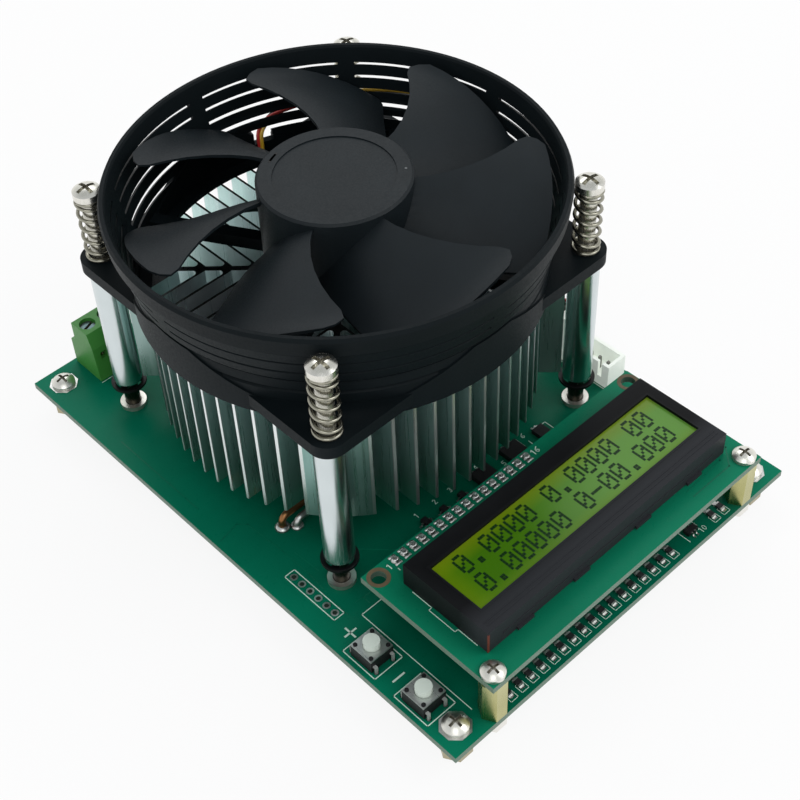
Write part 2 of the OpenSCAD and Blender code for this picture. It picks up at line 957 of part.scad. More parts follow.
module display_board() {
    color("mediumseagreen")
        difference() {
            box(-lcd_w / 2, lcd_w / 2, lcd_y - lcd_d / 2, lcd_y + lcd_d / 2, lcd_z, lcd_top);
            translate([0, lcd_y, 0])
                corners(lcd_hole_x, lcd_hole_y)
                    rod(0, 0, lcd_z - 1, lcd_top + 1, 3.2);
            for (k = [0:pin_count - 1])
                rod(pin_x + k * pin_pitch, pin_y, lcd_z - 1, lcd_top + 1, 1.1);
        }
}

module display_bezel() {
    bx = bezel_x;
    by = lcd_y + bezel_y;
    wx = window_x;
    wy = lcd_y + window_y;
    color("black")
        difference() {
            box(bx - bezel_w / 2, bx + bezel_w / 2, by - bezel_d / 2, by + bezel_d / 2,
                lcd_top, lcd_top + bezel_h);
            box(bx - bezel_w / 2 + bezel_t, bx + bezel_w / 2 - bezel_t, by - bezel_d / 2 + bezel_t,
                by + bezel_d / 2 - bezel_t, lcd_top - 1, lcd_top + bezel_h - bezel_t);
            box(wx - window_w / 2, wx + window_w / 2, wy - window_d / 2, wy + window_d / 2,
                lcd_top, lcd_top + bezel_h + 1);
        }
}

module in_bezel(inset, z0, z1) {
    x = bezel_w / 2 - bezel_t - inset;
    y = bezel_d / 2 - bezel_t - inset;
    by = lcd_y + bezel_y;
    box(bezel_x - x, bezel_x + x, by - y, by + y, z0, z1);
}

module display_glass() {
    color("yellowgreen")
        in_bezel(0.1, glass_top - glass_t, glass_top);
}

module display_backlight() {
    y = bezel_d / 2 - bezel_t - 3.2;
    x = bezel_w / 2 - bezel_t - 0.3;
    by = lcd_y + bezel_y;
    color("white")
        box(bezel_x - x, bezel_x + x, by - y, by + y, lcd_top, glass_top - glass_t);
}

module contact_strips() {
    x = bezel_w / 2 - bezel_t - 3.5;
    y = bezel_d / 2 - bezel_t - 2.6;
    color("pink")
        for (s = [-1, 1])
            translate([0, lcd_y + bezel_y + s * (y + 1.2), 0])
                box(-x, x, -1, 1, lcd_top, glass_top - glass_t);
}

module header_strip() {
    x0 = pin_x - pin_pitch / 2;
    y0 = pin_y - strip_w / 2;
    color("black")
        difference() {
            box(x0, x0 + pin_count * pin_pitch, y0, y0 + strip_w, lcd_z - strip_h, lcd_z);
            for (k = [0:pin_count - 1])
                pin_hole(pin_x + k * pin_pitch, pin_y, lcd_z - strip_h - 1, lcd_z + 1);
        }
}

module pin_hole(x, y, z0, z1) {
    w = pin_w / 2 + fit;
    box(x - w, x + w, y - w, y + w, z0, z1);
}

module pin(x, y, z0, z1) {
    w = pin_w / 2;
    box(x - w, x + w, y - w, y + w, z0, z1);
}

module header_pins() {
    color("gold")
        for (k = [0:pin_count - 1]) {
            pin(pin_x + k * pin_pitch, pin_y, lcd_z - strip_h - 5, lcd_top + 1.1);
            pin(pin_x + k * pin_pitch, pin_y, foot_h - 1.4, board_top + 1);
        }
}

module display_socket() {
    x0 = pin_x - pin_pitch / 2;
    y0 = pin_y - strip_w / 2;
    color("black")
        difference() {
            box(x0, x0 + pin_count * pin_pitch, y0, y0 + strip_w, board_top, lcd_z - strip_h);
            for (k = [0:pin_count - 1]) {
                pin_hole(pin_x + k * pin_pitch, pin_y, lcd_z - strip_h - 5.2, lcd_z);
                pin_hole(pin_x + k * pin_pitch, pin_y, board_top - 1, board_top + 1.1);
            }
        }
}

module at_pillars() {
    for (s = [-1, 1])
        translate([s * lcd_hole_x, lcd_y - lcd_hole_y, 0])
            children();
}

module display_standoffs() {
    color("gold")
        at_pillars()
            difference() {
                union() {
                    hex(0, 0, board_top, lcd_z, pillar_af);
                    rod(0, 0, foot_h - 2.6, board_top + eps, pillar_screw_d);
                }
                rod(0, 0, lcd_z - 6, lcd_z + 1, pillar_screw_d + 2 * fit);
            }
}

module display_screws() {
    color("silver")
        at_pillars() {
            translate([0, 0, lcd_top])
                pan_head(2 * lcd_hole_inset, 1.8);
            rod(0, 0, lcd_z - 4, lcd_top, pillar_screw_d);
        }
}

module display_nuts() {
    color("silver")
        at_pillars()
            difference() {
                hex(0, 0, foot_h - 2, foot_h, 5);
                rod(0, 0, 0, foot_h + 1, pillar_screw_d + 2 * fit);
            }
}

// Buttons

module at_switches() {
    for (y = switch_y)
        translate([switch_x, y, 0])
            children();
}

plate_low = board_top + switch_h - switch_plate_t;

module switch_bases() {
    w = switch_w / 2;
    color("black")
        at_switches()
            difference() {
                union() {
                    box(-w, w, -w, w, board_top, plate_low);
                    corners(w - 0.7, w - 0.7)
                        rod(0, 0, plate_low - eps, plate_low + switch_plate_t + 0.2, 0.9);
                }
                rod(0, 0, switch_floor, plate_low + 1, 2 * dome_r + 0.3);
            }
}

module switch_plates() {
    w = switch_w / 2;
    color("silver")
        at_switches()
            difference() {
                box(-w, w, -w, w, plate_low, plate_low + switch_plate_t);
                rod(0, 0, plate_low - 1, plate_low + 1, button_d + 2 * clear);
                corners(w - 0.7, w - 0.7)
                    rod(0, 0, plate_low - 1, plate_low + 1, 0.9 + 2 * fit);
            }
}

module switch_leads() {
    y0 = switch_w / 2;
    color("silver")
        at_switches()
            for (sx = [-1, 1])
                for (s = [0, 1])
                    translate([sx * 2.25, 0, 0])
                        mirror([0, s, 0]) {
                            box(-0.35, 0.35, y0, y0 + 0.75, board_top + 1.5, board_top + 1.8);
                            box(-0.35, 0.35, y0 + 0.45, y0 + 0.75, foot_h - 1.2, board_top + 1.5);
                        }
}

module button_cap() {
    nub_z = switch_floor + dome_h + 0.02;
    flange_z = plate_low - 0.65;
    rod(0, 0, nub_z, flange_z + eps, 1.4);
    rod(0, 0, flange_z, plate_low - 0.05, button_d + 0.5);
    rod(0, 0, plate_low - 0.06, board_top + switch_h + button_rise, button_d);
}

module increase_button() {
    color("ivory")
        translate([switch_x, switch_y[0], 0])
            union()
                button_cap();
}

module decrease_button() {
    color("ivory")
        translate([switch_x, switch_y[1], 0])
            union()
                button_cap();
}

// Thin conical cap that clicks under a button
module dome() {
    translate([0, 0, switch_floor])
        difference() {
            cylinder(h = dome_h, r1 = dome_r, r2 = dome_r / 3);
            translate([0, 0, -dome_t])
                cylinder(h = dome_h, r1 = dome_r, r2 = dome_r / 3);
        }
}

module increase_dome() {
    color("silver")
        translate([switch_x, switch_y[0], 0])
            dome();
}

module decrease_dome() {
    color("silver")
        translate([switch_x, switch_y[1], 0])
            dome();
}

// Screw terminal

module terminal_housing() {
    x0 = pole_x[0] - pole_pitch / 2;
    x1 = pole_x[1] + pole_pitch / 2;
    h = terminal_h;
    color("limegreen")
        difference() {
            translate([x0, pole_y, board_top])
                rotate([90, 0, 90])
                    linear_extrude(height = x1 - x0)
                        polygon([
                            [-5.2, 0],
                            [4.8, 0],
                            [4.8, 7.6],
                            [3, 8.6],
                            [3, h],
                            [-3.1, h],
                            [-4.4, 9.5]
                        ]);
            for (x = pole_x)
                translate([x, pole_y, 0]) {
                    box(-cage_w / 2 - clear, cage_w / 2 + clear, -cage_d / 2 - 0.1, cage_d / 2 + 0.1,
                        cage_low - 0.2, pole_head_z - 0.05);
                    box(-0.9, 0.9, -cage_d / 2 - 1.2, 0, board_top - 1, bar_z + bar_t + fit);
                    rod(0, 0, pole_head_z - 0.1, board_top + h + 1, pole_head_d + 2 * clear);
                    box(-1.7, 1.7, 0, 10, cage_low + cage_t, bar_z);
                    box(-0.8, 0.8, -10, -cage_d / 2, bar_z - 1.1, bar_z + bar_t);
                }
        }
}

module terminal_contacts() {
    color("gold")
        for (x = pole_x)
            translate([x, pole_y, 0]) {
                box(-0.8, 0.8, -cage_d / 2 - 0.9, cage_d / 2 - 0.3, bar_z, bar_z + bar_t);
                box(-0.4, 0.4, -cage_d / 2 - 0.9, -cage_d / 2 - 0.3, foot_h - 1.6, bar_z);
            }
}

module pole_screw() {
    difference() {
        union() {
            rod(0, 0, bar_z + bar_t + 0.05, pole_head_z + eps, pole_screw_d);
            rod(0, 0, pole_head_z, pole_head_z + pole_head_h, pole_head_d);
        }
        box(-pole_head_d, pole_head_d, -0.35, 0.35, pole_head_z + pole_head_h - 0.9, pole_head_z + 9);
    }
}

module terminal_screw_1() {
    color("silver")
        translate([pole_x[0], pole_y, 0])
            rotate([0, 0, 20])
                pole_screw();
}

module terminal_screw_2() {
    color("silver")
        translate([pole_x[1], pole_y, 0])
            rotate([0, 0, 70])
                pole_screw();
}

// Clamp frame that rises round the current bar when its screw is tightened
module clamp_cage() {
    w = cage_w / 2;
    difference() {
        box(-w, w, -cage_d / 2, cage_d / 2, cage_low, cage_roof + cage_t);
        box(-w + cage_wall, w - cage_wall, -cage_d, cage_d, cage_low + cage_t, cage_roof);
        rod(0, 0, cage_roof - 1, cage_roof + 3, pole_screw_d + 2 * fit);
    }
}

module wire_clamp_1() {
    color("silver")
        translate([pole_x[0], pole_y, 0])
            clamp_cage();
}

module wire_clamp_2() {
    color("silver")
        translate([pole_x[1], pole_y, 0])
            clamp_cage();
}

// Headers, plug and fan lead

module aux_header() {
    l = 2 * aux_pitch + 4.9;
    color("white")
        translate([header_x, aux_y, board_top])
            difference() {
                box(-2.9, 2.9, -l / 2, l / 2, 0, aux_h);
                box(-2.1, 2.1, -l / 2 + 0.8, l / 2 - 0.8, 1.8, aux_h + 1);
                for (s = [-1, 1])
                    box(-5, 0, s * 2.4 - 0.6, s * 2.4 + 0.6, 2.6, aux_h + 1);
                for (k = [-1:1])
                    pin_hole(0, k * aux_pitch, -1, 3);
            }
}

module aux_header_pins() {
    color("silver")
        for (k = [-1:1])
            pin(header_x, aux_y + k * aux_pitch, foot_h - 1.4, board_top + 5.2);
}

module fan_header() {
    l = 3 * fan_pitch;
    color("white")
        translate([header_x, fan_header_y, board_top])
            difference() {
                union() {
                    box(-2.9, 2.9, -l / 2, l / 2, 0, 3.2);
                    box(1.9, 2.9, -2.6, 2.6, 3.1, 11);
                }
                for (k = [-1:1])
                    pin_hole(0, k * fan_pitch, -1, 4);
            }
}

module fan_header_pins() {
    color("silver")
        for (k = [-1:1])
            pin(header_x, fan_header_y + k * fan_pitch, foot_h - 1.4, board_top + 9);
}

module fan_plug() {
    l = 3 * fan_pitch - 0.2;
    color("white")
        translate([header_x, fan_header_y, board_top])
            difference() {
                box(-2.8, 1.8, -l / 2, l / 2, 3.2, plug_top);
                for (k = [-1:1])
                    pin_hole(0, k * fan_pitch, 3, 9.2);
            }
}

lead_sides = 8;
lead_parts = 3;
lead_last = len(lead_route) - 1;
function route_at(i) = lead_route[min(max(i, 0), lead_last)];
function smooth(i, u) =
    let (a = route_at(i - 1), b = route_at(i), c = route_at(i + 1), d = route_at(i + 2))
    0.5 * (2 * b + (c - a) * u + (2 * a - 5 * b + 4 * c - d) * u * u + (3 * b - a - 3 * c + d) * u * u * u);
function unit(v) = v / norm(v);

module fan_lead() {
    line = [for (i = [0:lead_last - 1]) for (k = [0:lead_parts - 1]) smooth(i, k / lead_parts)];
    path = concat(line, [lead_route[lead_last]]);
    n = len(path) - 1;
    m = lead_sides;
    up = [0.35, 0.9, 0.25];
    pts = [for (i = [0:n])
        let (
            along = unit(path[min(i + 1, n)] - path[max(i - 1, 0)]),
            side = unit(cross(along, [-path[i][1] + cooler_y, path[i][0] - cooler_x, 0] + 0.01 * up)),
            other = cross(along, side)
        )
        for (j = [0:m - 1])
            path[i] + lead_d / 2 * (side * cos(j * 360 / m) + other * sin(j * 360 / m))];
    sides = [for (i = [0:n - 1]) for (j = [0:m - 1])
        let (a = i * m + j, b = i * m + (j + 1) % m)
        each [[a, b + m, b], [a, a + m, b + m]]];
    caps = [[for (j = [0:m - 1]) j], [for (j = [m - 1:-1:0]) n * m + j]];
    color("firebrick")
        polyhedron(points = pts, faces = concat(sides, caps));
}

// Surface-mount parts

module chip_resistors() {
    color("black")
        for (x = resistor_x)
            translate([x, resistor_y, 0])
                box(-resistor_w / 2, resistor_w / 2, -resistor_l / 2, resistor_l / 2,
                    board_top, board_top + resistor_h);
}

module small_chips() {
    color("black")
        for (c = small_chip_list)
            translate([c[0], c[1], 0])
                box(-c[2] / 2, c[2] / 2, -c[3] / 2, c[3] / 2, board_top + 0.1, board_top + c[4]);
}

// Gull-wing lead outwards along +X from x = 0
module gull(x, y, w) {
    translate([x, y, board_top]) {
        box(0, 0.5, -w / 2, w / 2, 0.55, 0.75);
        box(0.3, 0.5, -w / 2, w / 2, 0.2, 0.55);
        box(0.3, 1.1, -w / 2, w / 2, 0, 0.2);
    }
}

module chip_leads() {
    color("silver")
        for (c = small_chip_list) {
            long = c[2] > 4 ? 1.27 : 0.95;
            count = c[2] > 4 ? 3 : 1;
            translate([c[0], c[1], 0])
                for (s = [0, 1])
                    for (k = [0:count])
                        if (c[2] >= c[3])
                            rotate([0, 0, 90 + 180 * s])
                                gull(c[3] / 2, (k - count / 2) * long, 0.4);
                        else
                            rotate([0, 0, 180 * s])
                                gull(c[2] / 2, (k - count / 2) * long, 0.4);
        }
}

controller_y = lcd_y + 2;

module controller_chip() {
    color("black")
        translate([-4, controller_y, 0])
            box(-8.9, 8.9, -3.75, 3.75, board_top + 0.1, board_top + 2.4);
}

module controller_leads() {
    color("silver")
        translate([-4, controller_y, 0])
            for (s = [0, 1])
                for (k = [0:13])
                    rotate([0, 0, 90 + 180 * s])
                        gull(3.75, (k - 6.5) * 1.27, 0.42);
}

main_board();
board_feet();
foot_screws();
heat_sink();
thermal_pad();
power_transistor();
transistor_leads();
shunt_wire();
link_wire();
fan_shroud();
fan_impeller();
rotor_yoke();
rotor_magnet();
rotor_shaft();
shaft_clip();
fan_bearing();
stator_core();
stator_coils();
fan_driver_board();
cooler_posts();
cooler_screws();
cooler_springs();
cooler_clips();
cooler_washers();
cooler_nuts();
display_board();
display_bezel();
display_glass();
display_backlight();
contact_strips();
header_strip();
header_pins();
display_socket();
display_standoffs();
display_screws();
display_nuts();
switch_bases();
switch_plates();
switch_leads();
increase_button();
decrease_button();
increase_dome();
decrease_dome();
terminal_housing();
terminal_contacts();
terminal_screw_1();
terminal_screw_2();
wire_clamp_1();
wire_clamp_2();
aux_header();
aux_header_pins();
fan_header();
fan_header_pins();
fan_plug();
fan_lead();
chip_resistors();
small_chips();
chip_leads();
controller_chip();
controller_leads();
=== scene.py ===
import math
import random

import bmesh
import bpy
from mathutils import Matrix, Vector


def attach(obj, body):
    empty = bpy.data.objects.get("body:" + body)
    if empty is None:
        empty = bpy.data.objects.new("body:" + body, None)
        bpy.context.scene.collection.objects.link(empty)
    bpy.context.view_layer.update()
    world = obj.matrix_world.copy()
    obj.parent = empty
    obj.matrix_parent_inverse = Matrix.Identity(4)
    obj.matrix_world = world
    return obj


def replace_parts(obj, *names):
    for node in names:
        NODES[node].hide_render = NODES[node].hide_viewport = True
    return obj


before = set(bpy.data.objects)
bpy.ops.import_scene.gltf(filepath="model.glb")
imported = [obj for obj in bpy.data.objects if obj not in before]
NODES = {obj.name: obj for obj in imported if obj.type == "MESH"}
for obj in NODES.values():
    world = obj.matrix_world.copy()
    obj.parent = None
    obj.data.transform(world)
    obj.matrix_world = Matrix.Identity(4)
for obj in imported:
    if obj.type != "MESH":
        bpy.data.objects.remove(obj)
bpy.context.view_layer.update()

MM = 0.001
ROOT = "load_board"
RNG = random.Random(7)
scene = bpy.context.scene

# Heights and places on the part, in millimetres

BOARD_LOW, BOARD_TOP = 6.0, 7.6
LCD_TOP = BOARD_TOP + 12.6
GLASS_TOP = LCD_TOP + 5.27
BEZEL_TOP = LCD_TOP + 6.0
PLATE_TOP = 52.8
HUB_TOP = 73.25
FAN_X, FAN_Y = -0.9, 12.0
SINK_R = 42.1
SINK_CORNER = 24.7  # the sink's solid corners start this far from its middle, both ways
FOOT_X, FOOT_Y = 45, 65
LCD_HOLE_X, LCD_HOLE_FRONT, LCD_HOLE_REAR = 37.5, -67.5, -36.5
WINDOW_X, WINDOW_Y = 0.4, -52.05
BEZEL_X, BEZEL_Y = (-35.0, 35.4), (-63.8, -41.0)
SIDES = (-1, 1)
POST_REACH = 36
POSTS = [(FAN_X + sx * POST_REACH, FAN_Y + sy * POST_REACH) for sx in SIDES for sy in SIDES]
PIN_PITCH = 2.54
PIN_X = [-32.2 + PIN_PITCH * k for k in range(16)]
PIN_Y = -35.65
RESISTOR_X = [-32.7 + k * 3.04 for k in range(17)] + [29.6, 32.6]
RESISTOR_Y = -66.8
SWITCH_X, SWITCH_Y = -45.3, (-42.2, -56.8)
SOCKET_X, SOCKET_Y = 45.3, (-22.3, -11.2)
LETTER_PITCH = 3.55
DOT_PITCH_X, DOT_PITCH_Y = 0.60, 0.70
DOT_X, DOT_Y = 0.56, 0.66
PRINT_H = 0.02  # thickness of printed marks
PAD_H = 0.05    # thickness of tinned pads


# Camera

def make_camera():
    """Camera fitted to the photo by the display's corners, holes and pins."""
    data = bpy.data.cameras.new("camera")
    data.sensor_width = 36.0
    data.lens = 68.52
    data.shift_x = 0.0611
    data.shift_y = -0.0341
    data.clip_start = 0.01
    data.clip_end = 20.0
    obj = bpy.data.objects.new("camera", data)
    right = Vector((0.73550, -0.67524, -0.05565))
    up = Vector((0.50955, 0.49714, 0.70229))
    back = Vector((-0.44655, -0.54489, 0.70971))
    turn = Matrix((right, up, back)).transposed()
    obj.matrix_world = Matrix.Translation((-0.15463, -0.17594, 0.26124)) @ turn.to_4x4()
    scene.collection.objects.link(obj)
    scene.camera = obj


make_camera()


# Materials

class Shader:
    """Small helper round one node material."""

    def __init__(self, name):
        self.mat = bpy.data.materials.new(name)
        self.mat.use_nodes = True
        self.tree = self.mat.node_tree
        self.bsdf = self.tree.nodes["Principled BSDF"]
        self.coord = self.tree.nodes.new("ShaderNodeTexCoord")

    def new(self, kind):
        return self.tree.nodes.new(kind)

    def link(self, a, b):
        self.tree.links.new(a, b)

    def set(self, **sockets):
        for key, value in sockets.items():
            self.bsdf.inputs[key.replace("_", " ")].default_value = value

    def place(self, scale):
        """Place on the part, stretched so that a pattern runs along one direction."""
        node = self.new("ShaderNodeMapping")
        node.inputs["Scale"].default_value = scale
        self.link(self.coord.outputs["Object"], node.inputs["Vector"])
        return node.outputs["Vector"]

    def noise(self, scale, detail, rough=0.55, stretch=None):
        node = self.new("ShaderNodeTexNoise")
        node.inputs["Scale"].default_value = scale
        node.inputs["Detail"].default_value = detail
        node.inputs["Roughness"].default_value = rough
        source = self.place(stretch) if stretch else self.coord.outputs["Object"]
        self.link(source, node.inputs["Vector"])
        return node.outputs["Fac"]

    def ramp(self, fac, stops):
        node = self.new("ShaderNodeValToRGB")
        ramp = node.color_ramp
        while len(ramp.elements) < len(stops):
            ramp.elements.new(0.5)
        for element, (pos, colour) in zip(ramp.elements, stops):
            element.position = pos
            element.color = (*colour, 1.0)
        self.link(fac, node.inputs["Fac"])
        return node.outputs["Color"]

    def span(self, fac, low, high, f0=0.3, f1=0.7):
        """The values f0 to f1 of fac, stretched to low to high."""
        node = self.new("ShaderNodeMapRange")
        node.inputs["From Min"].default_value = f0
        node.inputs["From Max"].default_value = f1
        node.inputs["To Min"].default_value = low
        node.inputs["To Max"].default_value = high
        self.link(fac, node.inputs["Value"])
        return node.outputs["Result"]

    def math(self, op, a, b=None):
        node = self.new("ShaderNodeMath")
        node.operation = op
        for i, value in enumerate((a, b)):
            if value is None:
                continue
            if isinstance(value, (int, float)):
                node.inputs[i].default_value = value
            else:
                self.link(value, node.inputs[i])
        return node.outputs["Value"]

    def mix(self, fac, a, b):
        node = self.new("ShaderNodeMix")
        node.data_type = "RGBA"
        self.link(fac, node.inputs["Factor"])
        for socket, value in ((node.inputs[6], a), (node.inputs[7], b)):
            if isinstance(value, tuple):
                socket.default_value = (*value, 1.0)
            else:
                self.link(value, socket)
        return node.outputs[2]

    def colour(self, output):
        self.link(output, self.bsdf.inputs["Base Color"])

    def rough(self, output):
        self.link(output, self.bsdf.inputs["Roughness"])

    def bump(self, height, strength, distance):
        node = self.new("ShaderNodeBump")
        node.inputs["Strength"].default_value = strength
        node.inputs["Distance"].default_value = distance
        self.link(height, node.inputs["Height"])
        self.link(node.outputs["Normal"], self.bsdf.inputs["Normal"])

    def axis(self, index):
        """Place along one axis of the part's frame, in metres."""
        node = self.new("ShaderNodeSeparateXYZ")
        self.link(self.coord.outputs["Object"], node.inputs["Vector"])
        return node.outputs[index]

    def upward(self):
        """How far a face looks up or down, from 0 for an upright one to 1 for a level one."""
        geo = self.new("ShaderNodeNewGeometry")
        node = self.new("ShaderNodeSeparateXYZ")
        self.link(geo.outputs["Normal"], node.inputs["Vector"])
        return self.math("ABSOLUTE", node.outputs[2])

    def worn_edges(self):
        """1 at sharp outer corners and 0 elsewhere; it goes by vertices, so it spreads over large faces."""
        node = self.new("ShaderNodeNewGeometry")
        return self.span(node.outputs["Pointiness"], 0.0, 1.0, 0.52, 0.62)

    def hollow(self, reach, low=0.15, high=0.75):
        """Ambient occlusion as a mask for painted shade: 0 in hollows about reach millimetres wide and 1 on
        open faces.
        """
        node = self.new("ShaderNodeAmbientOcclusion")
        node.samples = 6
        node.inputs["Distance"].default_value = reach * MM
        return self.span(node.outputs["AO"], 0.0, 1.0, low, high)


def shade(c, k):
    """The colour c made k times as bright."""
    return tuple(min(1.0, max(0.0, v * k)) for v in c)


def plastic(name, colour, rough, grain, depth, spread, sheen=0.5, edge=1.0, glow=0.0):
    """Moulding; edge is how much paler its worn corners are, and glow stands for the light that a
    milky plastic scatters through its walls."""
    s = Shader(name)
    cloud = s.noise(120, 4)
    base = s.ramp(cloud, [(0.3, shade(colour, 1 - spread)), (0.7, shade(colour, 1 + spread))])
    if edge != 1.0:
        base = s.mix(s.worn_edges(), base, shade(colour, edge))
    s.colour(base)
    fine = s.noise(grain, 2)
    s.rough(s.span(fine, rough - 0.06, rough + 0.08))
    s.bump(fine, depth, 0.0001)
    s.set(Specular_IOR_Level=sheen)
    if glow:
        s.set(Emission_Color=(*colour, 1.0), Emission_Strength=glow)
    return s.mat


def metal(name, colour, rough, stretch, scratch, depth, spread, tone=None, crevice_shade=None, dark_below=None):
    """Plated metal; tone is the colour of its worn corners, crevice_shade the distance in millimetres
    over which hollows take painted shade, dark brown and less metallic, dark_below a height in metres
    under which the plating is drawn dull and dark."""
    s = Shader(name)
    cloud = s.noise(160, 4)
    base = s.ramp(cloud, [(0.3, shade(colour, 1 - spread)), (0.7, shade(colour, 1 + spread))])
    if tone:
        base = s.mix(s.worn_edges(), base, tone)
    # Painted shade in hollows, a dark brown
    if crevice_shade:
        unshaded = s.hollow(crevice_shade)
        base = s.mix(unshaded, (0.13, 0.112, 0.066), base)
    # Darker and duller below a given height
    if dark_below:
        base = s.mix(s.span(s.axis(2), 1.0, 0.0, dark_below, dark_below + 0.001), base, (0.045, 0.040, 0.030))
    s.colour(base)
    line = s.noise(scratch, 3, 0.6, stretch)
    s.rough(s.span(line, max(0.03, rough - 0.03), rough + 0.05))
    s.bump(line, depth, 0.00005)
    s.set(Metallic=1.0)
    # The painted shade in hollows is also less metallic
    if crevice_shade:
        s.link(s.span(unshaded, 0.2, 1.0, 0.0, 1.0), s.bsdf.inputs["Metallic"])
    return s.mat


def solder_mask(name, colour, pale):
    """Green lacquer over copper: broad copper areas show as a slightly different green, and the cut
    edges show the bare glass fibre; painted shade darkens the lacquer near tall parts and the cut
    edges in hollows."""
    s = Shader(name)
    cloud = s.noise(26, 2)
    plane = s.new("ShaderNodeTexVoronoi")
    plane.feature = "F1"
    plane.inputs["Scale"].default_value = 38
    plane.inputs["Randomness"].default_value = 0.9
    s.link(s.place((1, 1, 0.01)), plane.inputs["Vector"])
    zone = s.span(plane.outputs["Distance"], 0.0, 1.0, 0.35, 0.36)
    base = s.ramp(cloud, [(0.3, shade(colour, 0.94)), (0.7, shade(colour, 1.07))])
    base = s.mix(s.math("MULTIPLY", zone, 0.16), base, pale)
    # Painted shade: the lacquer darker near tall parts
    base = s.mix(s.hollow(30.0, 0.25, 0.95), shade(colour, 0.45), base)
    side = s.math("LESS_THAN", s.upward(), 0.5)
    weave = s.noise(3000, 2, 0.5, (1, 1, 6))
    cut = s.ramp(weave, [(0.35, (0.10, 0.17, 0.125)), (0.7, (0.22, 0.29, 0.23))])
    # Painted shade on the cut edges in hollows
    cut = s.mix(s.hollow(4.0, 0.35, 0.8), (0.012, 0.045, 0.026), cut)
    s.colour(s.mix(side, base, cut))
    fine = s.noise(900, 3)
    s.rough(s.span(fine, 0.26, 0.38))
    s.bump(fine, 0.04, 0.00005)
    s.set(Specular_IOR_Level=0.07)
    return s.mat


def fin_metal(name):
    """Extruded aluminium with fine drawing lines, tinted teal as a painted reflection of the green board,
    greener and darker low down; the middle is a paler grey as painted light, the gaps between fins
    take painted shade, the fins' outer edges carry a painted highlight, and the level cut ends are
    dull and painted dark as a reflection of the black fan above."""
    s = Shader(name)
    lines = s.noise(1800, 3, 0.6, (1, 1, 0.02))
    cloud = s.noise(70, 3)
    # Teal tint throughout: a painted reflection of the green board
    base = s.ramp(cloud, [(0.3, (0.54, 0.75, 0.72)), (0.7, (0.60, 0.81, 0.78))])
    base = s.mix(s.math("MULTIPLY", lines, 0.2), base, (0.68, 0.84, 0.82))
    # Painted reflection and shade: greener and darker low down, nearer the board
    base = s.mix(s.span(s.axis(2), 0.0, 1.0, 0.016, 0.046), (0.13, 0.36, 0.29), base)
    across = s.math("ADD", s.axis(0), -FAN_X * MM)
    along = s.math("ADD", s.axis(1), -FAN_Y * MM)
    squares = s.math("ADD", s.math("MULTIPLY", across, across), s.math("MULTIPLY", along, along))
    reach = s.math("SQRT", squares)
    # Painted light: the middle drawn a paler grey
    lit_middle = s.ramp(cloud, [(0.3, (0.70, 0.75, 0.77)), (0.7, (0.80, 0.84, 0.86))])
    base = s.mix(s.span(reach, 0.0, 1.0, 0.0345, 0.0385), lit_middle, base)
    # Painted shade between the fins
    base = s.mix(s.hollow(4.0, 0.1, 0.7), (0.22, 0.36, 0.34), base)
    off_rim = s.math("ABSOLUTE", s.math("SUBTRACT", reach, SINK_R * MM))
    outer = s.math("LESS_THAN", off_rim, 0.22 * MM)
    # Painted highlight on the fins' outer edges, fading low down and weaker at the solid corners
    bright = s.mix(s.span(s.axis(2), 0.0, 1.0, 0.014, 0.040), (0.34, 0.44, 0.41), (0.80, 0.84, 0.83))
    corner = s.math("MINIMUM", s.math("ABSOLUTE", across), s.math("ABSOLUTE", along))
    bright = s.mix(s.math("GREATER_THAN", corner, SINK_CORNER * MM), bright, (0.25, 0.41, 0.375))
    base = s.mix(outer, base, bright)
    arm = s.math("GREATER_THAN", reach, (SINK_R + 0.3) * MM)
    base = s.mix(arm, base, (0.32, 0.44, 0.415))
    # Level cut ends: dull, and painted dark as a reflection of the black fan above
    flat = s.math("GREATER_THAN", s.upward(), 0.8)
    saw = s.noise(700, 2, 0.5, (1, 0.1, 1))
    dull_and_fan_reflection = s.ramp(saw, [(0.3, (0.05, 0.055, 0.055)), (0.7, (0.10, 0.105, 0.105))])
    s.colour(s.mix(flat, base, dull_and_fan_reflection))
    s.rough(s.span(lines, 0.24, 0.40))
    s.bump(lines, 0.006, 0.00005)
    s.set(Metallic=0.9)
    return s.mat


def display_glass_mat(name):
    """Yellow-green lit panel, yellower along its rear and left edges, and paler towards the right
    as a painted reflection.
    """
    s = Shader(name)
    cloud = s.noise(45, 2)
    glow = s.ramp(cloud, [(0.25, (0.034, 0.118, 0.003)), (0.75, (0.050, 0.150, 0.004))])
    x, y = s.axis(0), s.axis(1)
    # Painted reflection: the panel paler towards the right
    glow = s.mix(s.span(x, 0.0, 1.0, -0.012, 0.010), glow, (0.095, 0.235, 0.036))
    glow = s.mix(s.span(y, 0.0, 0.8, -0.0492, -0.0448), glow, (0.150, 0.200, 0.004))
    glow = s.mix(s.span(x, 0.7, 0.0, -0.0322, -0.0268), glow, (0.130, 0.210, 0.003))
    glow = s.mix(s.span(y, 0.55, 0.0, -0.0590, -0.0560), glow, (0.120, 0.230, 0.006))
    s.colour(glow)
    fine = s.noise(2500, 2)
    s.rough(s.span(fine, 0.16, 0.26))
    s.bump(fine, 0.02, 0.00003)
    s.link(glow, s.bsdf.inputs["Emission Color"])
    s.set(Emission_Strength=0.15, Specular_IOR_Level=0.15)
    return s.mat


